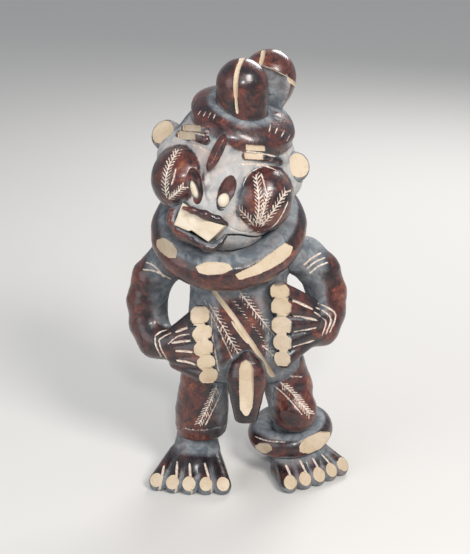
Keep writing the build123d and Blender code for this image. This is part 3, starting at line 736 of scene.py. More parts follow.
for q in ([(-28.5, -21.6), (-26.8, -19.2), (-19.0, -19.2), (-16.6, -21.9), (-16.6, -27.2), (-18.7, -29.8), (-26.7, -29.8), (-28.5, -27.4)], [(-27.3, -32.2), (-25.7, -29.9), (-17.7, -29.9), (-15.2, -32.5), (-15.2, -37.8), (-17.4, -40.4), (-25.5, -40.4), (-27.3, -38.1)], [(-26.3, -42.8), (-24.6, -40.6), (-16.8, -40.6), (-14.4, -43.0), (-14.4, -47.9), (-16.4, -50.4), (-24.4, -50.4), (-26.3, -48.2)], [(-24.4, -52.0), (-22.8, -50.1), (-15.3, -50.1), (-13.0, -52.2), (-13.0, -56.4), (-15.0, -58.6), (-22.7, -58.6), (-24.4, -56.6)], [(-23.0, -60.7), (-21.3, -58.6), (-13.4, -58.6), (-10.9, -61.0), (-10.9, -65.7), (-13.0, -68.1), (-21.2, -68.1), (-23.0, -66.0)]):
    arm_r.facet(q, 1.0, edge=0.8)
for q in ([(23.2, -7.0), (24.8, -5.0), (32.5, -5.0), (34.8, -7.2), (34.8, -11.5), (32.8, -13.7), (25.0, -13.7), (23.2, -11.7)], [(23.7, -16.2), (25.4, -13.9), (33.6, -13.9), (36.1, -16.4), (36.1, -21.6), (33.9, -24.2), (25.5, -24.2), (23.7, -21.9)], [(23.9, -27.7), (25.6, -25.0), (33.6, -25.0), (36.1, -28.1), (36.1, -34.2), (33.9, -37.3), (25.7, -37.3), (23.9, -34.6)], [(24.8, -39.2), (26.4, -36.7), (33.9, -36.7), (36.2, -39.5), (36.2, -45.0), (34.2, -47.8), (26.5, -47.8), (24.8, -45.3)], [(25.5, -49.9), (26.9, -47.9), (33.5, -47.9), (35.5, -50.2), (35.5, -54.8), (33.8, -57.1), (27.0, -57.1), (25.5, -55.1)]):
    arm_l.facet(q, 1.0, edge=0.8)
tongue.facet([(7.1, -53.5), (10.0, -55.1), (11.6, -58.7), (11.9, -74.2), (10.6, -90.6), (3.5, -90.3), (2.9, -72.9), (2.9, -59.3), (4.2, -55.5)], 1.0)
anklet.facet([(12.9, -109.0), (16.1, -107.1), (23.2, -107.7), (23.9, -111.6), (20.0, -113.8), (14.2, -112.2)], 0.5)
anklet.facet([(41.3, -107.7), (47.1, -103.2), (54.8, -99.7), (61.3, -100.0), (61.3, -105.1), (56.1, -110.3), (47.7, -113.8), (41.9, -112.9)], 0.6)

# toenails: sloped flats at the toe ends
for foot, parts, order in ((foot_r, FOOT_R, 1), (foot_l, FOOT_L, 1)):
    ax, o, toes = parts
    for i, (root, tip) in enumerate(toes):
        out = unit(np.array([tip[0] * 0.012, -0.80, 0.60]))
        centre = tip + out * 3.8
        foot.plane(o + centre @ ax, out @ ax, 6.2, 1.0, 0.6)

# ------------------------------------------------------------------ grooves, ferns and bands
knob_f.line([(6.5, 143.2), (3.2, 137.7), (1.2, 131.6), (0.3, 123.2), (0.5, 116.1)], 2.7, 1.2, 0.0, 1.0)
knob_f.line([(0.3, 124.5), (0.6, 114.8), (1.5, 105.8)], 1.6, 0.9, 0.0, 1.0)
knob_b.line([(18.4, 146.4), (17.7, 141.9), (16.4, 136.7)], 3.0, 0.9, 0.0, 1.0)
knob_b.line([(18.7, 135.1), (25.2, 132.5), (32.9, 128.4), (40.0, 123.5)], 2.6, 0.7, 0.0, 1.0)
# a black cut: painted shadow in the crack at the rear lobe's root
knob_b.line([(18.7, 119.3), (22.6, 117.7), (26.4, 114.8), (31.0, 113.5)], 1.6, 1.2, -1.0, 0.0)
knob_b.line([(18.1, 121.3), (22.6, 120.0), (27.1, 117.1), (31.6, 115.5)], 1.6, 0.4, 0.0, 0.8)

head.line([(-33.5, 93.5), (-27.1, 93.1), (-19.4, 91.2)], 1.0, 0.5, 0.9)
head.line([(-31.0, 86.1), (-24.5, 84.8), (-18.1, 81.6)], 1.2, 0.5, 0.7)
head.line([(7.1, 81.0), (14.8, 80.2), (26.4, 77.7)], 1.0, 0.5, 0.9)
head.line([(3.9, 72.6), (11.0, 73.1), (18.1, 72.2), (25.2, 69.7), (31.0, 66.4)], 1.3, 0.45, 0.8)
head.line([(-47.1, 50.3), (-40.6, 45.1), (-32.9, 42.2)], 1.2, 0.6, 0.45)
head.line([(-4.5, 32.2), (3.2, 29.3), (12.9, 29.0), (23.2, 31.6), (29.7, 38.7), (34.5, 49.0)], 1.2, 0.55, 0.45)
# a black cut: painted shadow in the crack right of the mouth
head.line([(-5.8, 27.1), (3.2, 27.1), (12.3, 25.8), (20.0, 27.4)], 1.3, 1.0, -1.0)
head.line([(-23.9, 104.5), (-21.9, 107.7)], 0.9, 0.35, 0.7, smooth=False)
head.line([(-20.6, 103.5), (-18.7, 107.1)], 0.9, 0.35, 0.7, smooth=False)
head.line([(-17.4, 102.6), (-15.5, 106.4)], 0.9, 0.35, 0.7, smooth=False)
head.line([(-14.2, 101.6), (-12.6, 105.5)], 0.9, 0.35, 0.7, smooth=False)
head.line([(21.9, 93.5), (23.2, 98.7)], 0.9, 0.35, 0.7, smooth=False)
head.line([(25.8, 92.2), (27.7, 97.1)], 0.9, 0.35, 0.7, smooth=False)
head.line([(29.7, 90.3), (32.2, 95.1)], 0.9, 0.35, 0.7, smooth=False)
head.line([(33.5, 87.7), (35.8, 92.2)], 0.9, 0.35, 0.7, smooth=False)

# cheeks: ferns rising from the lower rim
head.fern([(12.3, 32.9), (7.7, 38.7), (0.6, 45.8)], 7, 3.2, 40, 0.85, 0.40)
head.fern([(13.5, 32.2), (15.5, 45.8), (14.5, 58.7), (13.2, 69.0)], 14, 3.5, 40, 0.85, 0.40)
head.fern([(15.5, 32.2), (18.7, 43.2), (21.3, 54.2)], 10, 2.9, 38, 0.85, 0.40)
head.line([(16.8, 67.1), (18.7, 60.6), (20.6, 53.5)], 0.9, 0.35)
head.fern([(16.8, 32.2), (25.2, 43.2), (32.9, 55.5)], 10, 3.4, 38, 0.85, 0.40)
head.fern([(-43.2, 49.7), (-38.7, 53.5), (-33.5, 58.1)], 7, 3.1, 40, 0.85, 0.40)
head.fern([(-43.9, 50.3), (-45.1, 60.0), (-42.6, 71.6), (-36.1, 82.6)], 14, 3.2, 40, 0.85, 0.40)
head.line([(-41.3, 58.7), (-39.3, 65.1), (-38.1, 70.3)], 0.9, 0.35)

# chest and belly
torso.line([(-13.5, -9.7), (-0.6, -26.4), (13.5, -47.1), (24.5, -63.9)], 3.2, 0.8, 0.0, 1.0, taper=False)
torso.line([(-1.9, -29.0), (3.2, -36.1), (8.4, -42.6)], 2.0, 0.6, 0.0, 1.0)
torso.line([(-15.5, -25.2), (-13.5, -43.2), (-10.3, -61.3)], 1.2, 0.5, 0.8)
torso.line([(-8.4, -14.8), (1.9, -29.0), (17.4, -51.0)], 1.0, 0.4, 0.7)
torso.fern([(-17.1, -16.8), (-9.7, -29.0), (-1.9, -42.6), (5.2, -54.8)], 15, 3.6, 42, 0.85, 0.40)
torso.fern([(1.9, -8.4), (9.7, -18.1), (17.4, -27.7), (26.1, -38.7)], 14, 3.6, 42, 0.85, 0.40)
torso.fern([(17.4, -43.9), (22.6, -48.4), (27.7, -54.2)], 6, 2.9, 42, 0.85, 0.40)

torso.fern([(-3.9, -13.5), (5.2, -25.2), (14.2, -36.8), (22.6, -48.4)], 16, 2.6, 40, 0.85, 0.36, side=1, draw_stem=False)
torso.line([(-20.0, -14.8), (-13.5, -27.7), (-5.8, -43.9), (0.6, -57.4)], 0.9, 0.4, 0.6)
head.fern([(6.5, 32.9), (3.2, 37.4), (-1.9, 40.6)], 5, 2.6, 40, 0.85, 0.36)
leg_r.line([(-8.4, -72.9), (-11.6, -80.6), (-16.1, -89.7), (-19.4, -96.1)], 0.9, 0.4, 0.6)
leg_l.line([(23.9, -69.0), (31.6, -75.5), (39.3, -83.9), (43.9, -89.7)], 0.9, 0.4, 0.6)

# arms: bands above and below
arm_r.line([(-57.4, 9.4), (-52.2, 7.1), (-45.8, 0.0)], 1.1, 0.45)
arm_r.line([(-59.3, 4.8), (-51.0, 3.5), (-41.3, -1.6)], 1.1, 0.45)
arm_r.line([(-51.6, -38.1), (-47.7, -35.2), (-42.6, -33.5)], 1.1, 0.45)
arm_r.line([(-49.7, -41.3), (-45.8, -38.1), (-41.3, -36.1)], 1.1, 0.45)
arm_r.line([(-51.6, -38.1), (-51.0, -44.5), (-46.4, -53.5)], 1.1, 0.45, 0.8)
arm_r.line([(-49.0, -40.6), (-47.7, -46.4), (-43.2, -54.2)], 1.1, 0.45, 0.8)
arm_l.line([(44.5, 7.7), (49.7, 12.3), (55.5, 15.5)], 1.1, 0.45)
arm_l.line([(46.4, 5.2), (51.6, 9.7), (58.1, 12.6)], 1.1, 0.45)
arm_l.line([(48.1, 2.3), (53.5, 6.8), (60.0, 9.4)], 1.1, 0.45)
arm_l.line([(53.5, -17.1), (60.0, -19.7), (65.1, -24.8), (61.3, -35.5)], 1.1, 0.45)
arm_l.line([(52.2, -19.7), (58.1, -22.6), (61.9, -27.4), (58.7, -36.8)], 1.1, 0.45)
arm_l.line([(51.0, -22.6), (55.5, -25.5), (58.7, -29.3), (56.1, -38.1)], 1.0, 0.45, 0.8)

# backs of the hands
arm_r.line([(-38.1, -35.5), (-31.0, -32.9), (-22.6, -31.6)], 1.5, 0.7)
arm_r.line([(-40.6, -42.6), (-31.6, -41.3), (-22.6, -41.3)], 1.5, 0.7)
arm_r.line([(-38.1, -47.7), (-30.3, -48.1), (-22.6, -49.7)], 1.5, 0.7)
arm_r.line([(-37.4, -53.9), (-29.7, -55.1), (-21.9, -58.4)], 1.5, 0.7)
arm_r.line([(-43.2, -43.2), (-36.8, -38.1), (-29.0, -36.8)], 1.0, 0.4, 0.8)
arm_l.line([(31.3, -13.5), (40.0, -16.1), (49.7, -20.6)], 1.5, 0.7)
arm_l.line([(31.3, -25.5), (41.9, -25.5), (52.2, -27.7)], 1.5, 0.7)
arm_l.line([(30.7, -36.4), (41.9, -34.8), (52.2, -32.9)], 1.5, 0.7)
arm_l.line([(31.6, -47.4), (41.3, -43.9), (51.0, -41.0)], 1.5, 0.7)

# black cuts between the nails: painted shadow in the gaps
arm_r.line([(-29.0, -30.2), (-22.6, -29.8), (-15.5, -30.3)], 1.0, 1.5, -0.8)
arm_r.line([(-27.1, -40.4), (-20.6, -40.0), (-14.2, -40.6)], 1.0, 1.5, -0.8)
arm_r.line([(-25.8, -50.1), (-19.4, -49.8), (-13.2, -50.1)], 1.0, 1.5, -0.8)
arm_r.line([(-23.9, -58.7), (-18.1, -58.4), (-12.3, -58.7)], 1.0, 1.5, -0.8)
arm_l.line([(23.2, -13.9), (29.7, -14.1), (35.5, -14.2)], 1.0, 1.5, -0.8)
arm_l.line([(23.9, -24.6), (29.7, -24.9), (36.1, -24.6)], 1.0, 1.5, -0.8)
arm_l.line([(24.5, -36.9), (30.3, -37.2), (36.1, -36.9)], 1.0, 1.5, -0.8)
arm_l.line([(25.2, -47.5), (30.3, -47.7), (35.5, -47.5)], 1.0, 1.5, -0.8)

# legs
leg_r.fern([(-11.6, -69.7), (-14.8, -78.0), (-18.7, -86.4), (-23.2, -94.8)], 14, 3.5, 40, 0.85, 0.40)
leg_r.line([(-36.8, -96.8), (-22.6, -98.7), (-5.8, -96.1)], 1.2, 0.5, 0.35)
leg_l.fern([(29.0, -67.7), (35.5, -73.5), (41.9, -80.6), (48.4, -88.4)], 14, 3.5, 40, 0.85, 0.40)
leg_l.line([(22.6, -66.4), (31.6, -63.9), (43.9, -64.5)], 1.1, 0.4, 0.5)
leg_l.line([(25.2, -70.3), (23.9, -79.3), (25.2, -90.9)], 1.0, 0.4, 0.4)
anklet.line([(12.3, -102.6), (21.3, -105.8), (32.9, -106.4)], 1.0, 0.4, 0.5)

# feet: cuts between the toes, running up the instep
foot_r.line([(-45.8, -121.9), (-47.4, -130.3), (-49.0, -139.3)], 1.5, 0.8)
foot_r.line([(-37.4, -119.3), (-37.7, -129.6), (-38.1, -140.6)], 1.5, 0.8)
foot_r.line([(-29.3, -120.6), (-28.7, -129.6), (-27.7, -140.6)], 1.5, 0.8)
foot_r.line([(-19.4, -120.6), (-16.8, -129.6), (-14.5, -140.0)], 1.5, 0.8)
foot_l.line([(32.9, -121.3), (35.5, -127.1), (38.1, -133.5)], 1.5, 0.8)
foot_l.line([(41.9, -118.4), (45.1, -124.5), (48.1, -131.6)], 1.5, 0.8)
foot_l.line([(50.3, -117.1), (53.5, -122.5), (56.4, -129.0)], 1.5, 0.8)
foot_l.line([(56.1, -114.5), (60.0, -118.7), (64.2, -124.5)], 1.5, 0.8)

for foot in (foot_r, foot_l):
    foot.plane((0.0, 0.0, 0.0), (0.0, 0.0, -1.0), 150.0, 0.0, 0.3)


# ------------------------------------------------------------------ where dust, pale clay slip, rubbed stain and painted shade lie
def ss(x, a, b):
    t = np.clip((x - a) / (b - a), 0, 1)
    return t * t * (3 - 2 * t)


# painted shadows: spots where the pale slip is taken off the face, beside the nose, between brows and eyes and on the
# cheeks' inner flanks, so the darker base shows as shade
PAINTED_SHADOWS = [(press(face_core, [ab])[0][0], r, w) for ab, r, w in (
    ((-20.6, 64.5), 2.6, 0.75), ((-18.7, 57.4), 2.2, 0.6), ((-14.2, 70.3), 2.6, 0.45), ((4.5, 56.1), 4.5, 0.6), ((3.2, 44.5), 4.0, 0.35),
    ((-31.0, 75.5), 3.6, 0.4), ((-41.9, 81.9), 4.0, 0.45), ((31.0, 72.2), 4.5, 0.45), ((-14.8, 88.4), 3.0, 0.35), ((0.6, 85.1), 4.0, 0.3))]


def head_tone(P):
    cheeks = np.minimum(sphere(P, CHEEK_R_O, 19.4), ellipsoid(P, CHEEK_L_O, (19.0, 19.6, 20.6)))
    cap = ellipsoid(P, CAP_O, (33.0, 33.0, 13.0), basis(CAP_N))
    b = np.maximum(1 - ss(cheeks, -0.1, 2.4), 1 - ss(cap, 0.3, 3.0))
    mid = (NA + NB) / 2
    b = np.maximum(b, 1 - ss(ellipsoid(P, mid, (3.3, np.linalg.norm(NA - NB) / 2 + 1.4, 5.6), NOSE_AX), -0.1, 0.8))
    b = np.maximum(b, 1 - ss(pressed_chain(P, LIP, 2.0), 0.0, 0.9))
    for c in BROWS:
        b = np.maximum(b, (1 - ss(pressed_chain(P, c), 0.0, 0.8)) * 0.8)
    for (c, ax), r in ((SOCKET_R, (4.4, 10.4, 2.7)), (SOCKET_L, (4.9, 10.8, 2.9))):
        b = np.maximum(b, 1 - ss(np.abs(ellipsoid(P, c, r, ax)), 0.2, 0.9))
    front = ss(-P[:, 1], -4.0, 10.0)
    crown = 1 - ss(np.minimum(knob_front_body(P), knob_rear_body(P)), 0.0, 9.0)
    hood = (1 - ss(np.abs(cheeks), 0.2, 1.6)) * ss(P[:, 0] * 0 + P[:, 2], 150, 260) * 0
    slip_and_shade = (1 - b) * front
    # painted shadows: the slip is taken away at each spot
    for c, r, w in PAINTED_SHADOWS:
        slip_and_shade = slip_and_shade - w * np.exp(-((P - c.astype(P.dtype)) ** 2).sum(1) / (2 * r * r))
    # painted blue-grey shade on the cheeks' upper inner flanks, laid into the dust share
    painted_flank_shade = (1 - ss(sphere(P, (4.0, -44.0, 208.0), 1.0), 4.0, 13.0)) * 0.45
    dust = (1 - b) * (1 - front) * 0.35 + crown * 0.55 + slip_and_shade * 0.15 + hood + painted_flank_shade
    dust = dust - 0.30 * b * (1 - crown) * (cap > 2)
    return dust, slip_and_shade, 0.05 * b


def ring_tone(o, n, R, up, chalk_in):
    def tone(P):
        q = P - o.astype(P.dtype)
        h = q @ n.astype(P.dtype)
        rad = np.sqrt(np.maximum((q ** 2).sum(1) - h * h, 0))
        a = (h * 0.92 - (rad - R) * 0.55)
        dust = ss(a, up - 3.0, up + 5.0) * 0.62
        inside = 1 - ss(rad, R - 12, R - 6)
        return dust - 0.12 * (1 - ss(a, up - 6, up)), chalk_in * inside * ss(h, -4, 2), 0.06 * (1 - ss(a, up - 6, up))
    return tone


def arm_tone(cx, side):
    def tone(P):
        inner = ss(-(P[:, 0] - cx) * side, -5.0, 5.0)
        d = inner * ss(P[:, 2], 104, 118) * ss(P[:, 1], -15, -5) * 0.50 + ss(P[:, 2], 142, 160) * 0.15
        return d, 0 * d, 0.08 * (1 - inner)
    return tone


def torso_tone(P):
    u = np.sqrt(((P[:, 0] - 3.0) / 29) ** 2 + ((P[:, 2] - 104.0) / 36) ** 2)
    d = ss(u, 0.55, 1.2) * 0.60 + ss(P[:, 1], -4, 20) * 0.10
    return d - 0.05, 0 * d, 0.05 + 0 * d


def leg_r_tone(P):
    d = ss(P[:, 0], -19, -8) * 0.42
    return d - 0.05, 0 * d, 0.10 * (1 - ss(P[:, 0], -30, -14))


def leg_l_tone(P):
    d = (1 - ss(P[:, 0], 22, 31)) * 0.6 + ss(P[:, 2], 70, 88) * 0.25
    return d - 0.05, 0 * d, 0.08 + 0 * d


def foot_tone(P):
    d = 0.14 + 0.16 * ss(P[:, 2], 12, 26)
    return d, 0 * d, -0.04 + 0 * d


def knob_tone(P):
    d = 0 * P[:, 0]
    return d - 0.12, d, d + 0.05


def back_knob_tone(P):
    n = RC[1].astype(P.dtype)
    flat = 1 - ss(np.abs((P - (RC[0] + np.array([0, 0.2, 0])).astype(P.dtype)) @ n), 0.2, 0.8)
    flat = flat * (P[:, 2] < 272)
    return flat * 0.55 - 0.1, flat * 0.35, 0.06 + 0 * flat


head.tone = head_tone
collar.tone = ring_tone(COLLAR_O, COLLAR_N, COLLAR_R, 4.5, 0.75)
anklet.tone = ring_tone(ANKLET_O, ANKLET_N, 20.4, 3.0, 0.0)
arm_r.tone, arm_l.tone = arm_tone(-57.0, -1), arm_tone(59.0, 1)
torso.tone, leg_r.tone, leg_l.tone = torso_tone, leg_r_tone, leg_l_tone
foot_r.tone = foot_l.tone = foot_tone
knob_f.tone, knob_b.tone = knob_tone, back_knob_tone
ear_l.tone = ear_r.tone = lambda P: (0.35 + 0 * P[:, 0], 0.35 + 0 * P[:, 0], 0 * P[:, 0])
jaw.tone = lambda P: (0.06 * ss(P[:, 0], -34, -26), 0 * P[:, 0], 0.12 * (1 - ss(P[:, 0], -36, -26)))


def back_line(pc, pts, width, depth, line_mark=0.0, cream=0.0):
    """A groove laid out as seen from behind: (x, z) pairs."""
    pts = spline(np.asarray(pts, float), 4)
    q = np.stack([pts[:, 0], np.full(len(pts), 60.0), pts[:, 1]], 1)
    for _ in range(80):
        q[:, 1] -= np.clip(pc.body(q), -2.0, 20.0) * 0.8
    n = gradient(pc.body, q)
    h = width / 2
    r = (h * h + depth * depth) / (2 * depth)
    lift = np.abs(np.linspace(-1, 1, len(q))) ** 4 * depth * 0.8
    pc.lines.append((q + n * (r - depth + lift)[:, None], np.full(len(q), r), line_mark, cream))


back_line(torso, [(2.5, 150), (3.0, 132), (3.0, 112), (3.5, 96)], 4.0, 1.3)
back_line(torso, [(4.0, 92), (4.5, 84), (5.0, 76)], 3.0, 1.6)
back_line(torso, [(-20, 93), (-8, 95.5), (4, 94), (17, 95.5), (29, 93)], 2.0, 0.6)

# ------------------------------------------------------------------ whole-figure distance grid, for the hollows
G0, G1, GS = np.array([-84.0, -62, -8]), np.array([88.0, 52, 294]), 2.0
GN = ((G1 - G0) / GS).astype(int) + 1


def whole_grid():
    ax = [G0[i] + GS * np.arange(GN[i]) for i in range(3)]
    X, Y, Z = np.meshgrid(*ax, indexing="ij")
    P = np.stack([X.ravel(), Y.ravel(), Z.ravel()], 1).astype(np.float32)
    g = np.full(len(P), 60.0, np.float32)
    for pc in PIECES:
        m = np.flatnonzero(((P > pc.lo - 26) & (P < pc.hi + 26)).all(1))
        g[m] = np.minimum(g[m], pc.raw(P[m]))
    g = np.minimum(g, P[:, 2] * 1.0 + 0.0)      # the ground shades the feet
    return g.reshape(GN)


def sample(g, P):
    q = np.clip((P - G0) / GS, 0, np.array(GN) - 1.001)
    i = q.astype(int)
    t = (q - i).astype(np.float32)
    out = np.zeros(len(P), np.float32)
    for dx in (0, 1):
        for dy in (0, 1):
            for dz in (0, 1):
                w = (t[:, 0] if dx else 1 - t[:, 0]) * (t[:, 1] if dy else 1 - t[:, 1]) * (t[:, 2] if dz else 1 - t[:, 2])
                out += w * g[i[:, 0] + dx, i[:, 1] + dy, i[:, 2] + dz]
    return out


GRID = whole_grid()


def hollow(P, N):
    """0 on open bulges, 1 deep in a hollow."""
    occ, tot = np.zeros(len(P), np.float32), 0.0
    for h, w in ((2.0, 0.8), (4.0, 1.0), (7.0, 1.0), (11.0, 0.9), (17.0, 0.7)):
        occ += w * np.clip(1 - (sample(GRID, P + N * h)) / h, 0, 1.4)
        tot += w
    return occ / tot


# ------------------------------------------------------------------ meshing
BLK = 8


def mesh_of(pc):
    lo = pc.lo - 2 * H
    n = np.ceil((pc.hi - lo) / H / BLK).astype(int) * BLK + BLK
    nb = n // BLK
    bi = np.stack(np.meshgrid(*[np.arange(k) for k in nb], indexing="ij"), -1).reshape(-1, 3)
    centres = (lo + (bi * BLK + BLK / 2) * H).astype(np.float32)
    est = pc.est(centres)
    reach = BLK * H * 0.87 * 1.2 + 3.2
    far = 3.0
    dense = np.repeat(np.repeat(np.repeat(np.where(est.reshape(nb) > 0, far, -far).astype(np.float32), BLK, 0), BLK, 1), BLK, 2)
    act = bi[np.abs(est) < reach]
    off = np.stack(np.meshgrid(*[np.arange(BLK)] * 3, indexing="ij"), -1).reshape(-1, 3)
    step = max(1, 600000 // BLK ** 3)
    for s in range(0, len(act), step):
        a = act[s:s + step]
        idx = (a[:, None, :] * BLK + off[None]).reshape(-1, 3)
        P = (lo + idx * H).astype(np.float32)
        f = pc.fields(P)[1]
        dense[idx[:, 0], idx[:, 1], idx[:, 2]] = np.clip(f, -far, far)
    grid = openvdb.FloatGrid(far)
    grid.copyFromArray(dense)
    pts, quads = grid.convertToQuads(0.0)
    P = lo + pts.astype(np.float64) * H
    # settle the points on the surface, then read the marks
    P32 = P.astype(np.float32)
    e = 0.2
    for _ in range(1):
        f0 = np.concatenate([pc.fields(P32[s:s + 400000])[1] for s in range(0, len(P32), 400000)])
        g = np.stack([np.concatenate([pc.fields(P32[s:s + 400000] + np.eye(3, dtype=np.float32)[i] * e)[1] for s in range(0, len(P32), 400000)]) - f0 for i in range(3)], 1) / e
        gn = np.sqrt((g ** 2).sum(1)) + 1e-6
        move = np.clip(f0 / gn, -0.45 * H, 0.45 * H) * (gn > 0.4)
        P32 = P32 - (g / gn[:, None]) * move[:, None]
    N = g / gn[:, None]
    r = [pc.fields(P32[s:s + 400000]) for s in range(0, len(P32), 400000)]
    cream = np.concatenate([x[2] for x in r])
    line_mark = np.concatenate([x[3] for x in r])
    return P32, quads, N, cream, line_mark


def islands(nv, quads):
    """Keeps the largest connected shell."""
    lab = np.arange(nv)
    for _ in range(400):
        m = lab[quads].min(1)
        new = lab.copy()
        for k in range(4):
            np.minimum.at(new, quads[:, k], m)
        new = new[new]
        if (new == lab).all():
            break
        lab = new
    ids, cnt = np.unique(lab[quads[:, 0]], return_counts=True)
    return lab[quads[:, 0]] == ids[cnt.argmax()]


def build(pc, mat):
    P, quads, N, cream, line_mark = mesh_of(pc)
    keep = islands(len(P), quads)
    quads = quads[keep]
    used = np.unique(quads)
    remap = np.full(len(P), -1)
    remap[used] = np.arange(len(used))
    quads, P, N, cream, line_mark = remap[quads], P[used], N[used], cream[used], line_mark[used]
    # outward winding
    a, b, c = P[quads[:, 0]], P[quads[:, 1]], P[quads[:, 2]]
    if (np.einsum("ij,ij->i", np.cross(b - a, c - a), N[quads[:, 0]]) > 0).mean() < 0.5:
        quads = quads[:, ::-1]
    occ = hollow(P.astype(float), N)
    dust, slip_and_shade, glow = (np.zeros(len(P), np.float32) for _ in range(3))
    if pc.tone:
        dust, slip_and_shade, glow = (np.array(v, np.float32) for v in pc.tone(P))
    for p, r, du, gl in pc.spots:
        w = np.exp(-((P - p.astype(np.float32)) ** 2).sum(1) / (2 * (r * 0.6) ** 2))
        dust += du * w
        glow += gl * w
    me = bpy.data.meshes.new(pc.name + "_carved")
    me.vertices.add(len(P))
    V = (P + np.array([AX, AY, 0])) / 1000.0
    me.vertices.foreach_set("co", V.astype(np.float32).ravel())
    me.loops.add(len(quads) * 4)
    me.loops.foreach_set("vertex_index", quads.astype(np.int32).ravel())
    me.polygons.add(len(quads))
    me.polygons.foreach_set("loop_start", np.arange(0, len(quads) * 4, 4, dtype=np.int32))
    me.update(calc_edges=True)
    me.validate()
    me.polygons.foreach_set("use_smooth", np.ones(len(me.polygons), bool))
    for nm, val in (("cream", cream), ("line_mark", line_mark), ("hollow", occ), ("dust", dust), ("slip_and_shade", slip_and_shade), ("glow", glow)):
        at = me.attributes.new(nm, "FLOAT", "POINT")
        at.data.foreach_set("value", val.astype(np.float32))
    ob = bpy.data.objects.new(pc.name + "_carved", me)
    bpy.context.scene.collection.objects.link(ob)
    me.materials.append(mat)
    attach(ob, "root")
    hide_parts(*pc.nodes)
    return ob


# ------------------------------------------------------------------ materials
class Nodes:
    def __init__(self, name):
        self.mat = bpy.data.materials.new(name)
        self.mat.use_nodes = True
        self.t = self.mat.node_tree
        self.t.nodes.clear()
        self.out = self.t.nodes.new("ShaderNodeOutputMaterial")
        self.bsdf = self.t.nodes.new("ShaderNodeBsdfPrincipled")
        self.t.links.new(self.bsdf.outputs[0], self.out.inputs[0])
        self.co = self.t.nodes.new("ShaderNodeTexCoord").outputs["Object"]

    def link(self, a, b):
        if hasattr(a, "is_output"):
            self.t.links.new(a, b)
        else:
            b.default_value = a

    def noise(self, scale, detail=4.0, rough=0.55, stretch=None, distort=0.0):
        n = self.t.nodes.new("ShaderNodeTexNoise")
        n.inputs["Scale"].default_value = scale
        n.inputs["Detail"].default_value = detail
        n.inputs["Roughness"].default_value = rough
        n.inputs["Distortion"].default_value = distort
        src = self.co
        if stretch:
            m = self.t.nodes.new("ShaderNodeMapping")
            m.inputs["Scale"].default_value = stretch
            self.t.links.new(self.co, m.inputs["Vector"])
            src = m.outputs[0]
        self.t.links.new(src, n.inputs["Vector"])
        return n.outputs["Fac"]

    def attr(self, name):
        n = self.t.nodes.new("ShaderNodeAttribute")
        n.attribute_name = name
        return n.outputs["Fac"]

    def math(self, op, a, b=0.0, clamp=False):
        n = self.t.nodes.new("ShaderNodeMath")
        n.operation = op
        n.use_clamp = clamp
        self.link(a, n.inputs[0])
        self.link(b, n.inputs[1])
        return n.outputs[0]

    def ramp(self, x, lo, hi, out_lo=0.0, out_hi=1.0, smooth=True):
        n = self.t.nodes.new("ShaderNodeMapRange")
        n.interpolation_type = "SMOOTHSTEP" if smooth else "LINEAR"
        n.clamp = True
        self.link(x, n.inputs["Value"])
        for k, v in (("From Min", lo), ("From Max", hi), ("To Min", out_lo), ("To Max", out_hi)):
            n.inputs[k].default_value = v
        return n.outputs["Result"]

    def mix(self, f, a, b):
        n = self.t.nodes.new("ShaderNodeMix")
        n.data_type = "RGBA"
        self.link(f, n.inputs[0])
        self.link(a if not isinstance(a, tuple) else (*a, 1.0), n.inputs[6])
        self.link(b if not isinstance(b, tuple) else (*b, 1.0), n.inputs[7])
        return n.outputs[2]

    def mixf(self, f, a, b):
        n = self.t.nodes.new("ShaderNodeMix")
        n.data_type = "FLOAT"
        self.link(f, n.inputs[0])
        self.link(a, n.inputs[2])
        self.link(b, n.inputs[3])
        return n.outputs[0]

    def bump(self, height, strength, distance, normal=None):
        n = self.t.nodes.new("ShaderNodeBump")
        n.inputs["Strength"].default_value = strength
        n.inputs["Distance"].default_value = distance
        self.t.links.new(height, n.inputs["Height"])
        if normal is not None:
            self.t.links.new(normal, n.inputs["Normal"])
        return n.outputs[0]


def voronoi(k, scale, feature="F1", rand=1.0):
    n = k.t.nodes.new("ShaderNodeTexVoronoi")
    n.feature = feature
    n.inputs["Scale"].default_value = scale
    n.inputs["Randomness"].default_value = rand
    k.t.links.new(k.co, n.inputs["Vector"])
    return n.outputs["Distance"]


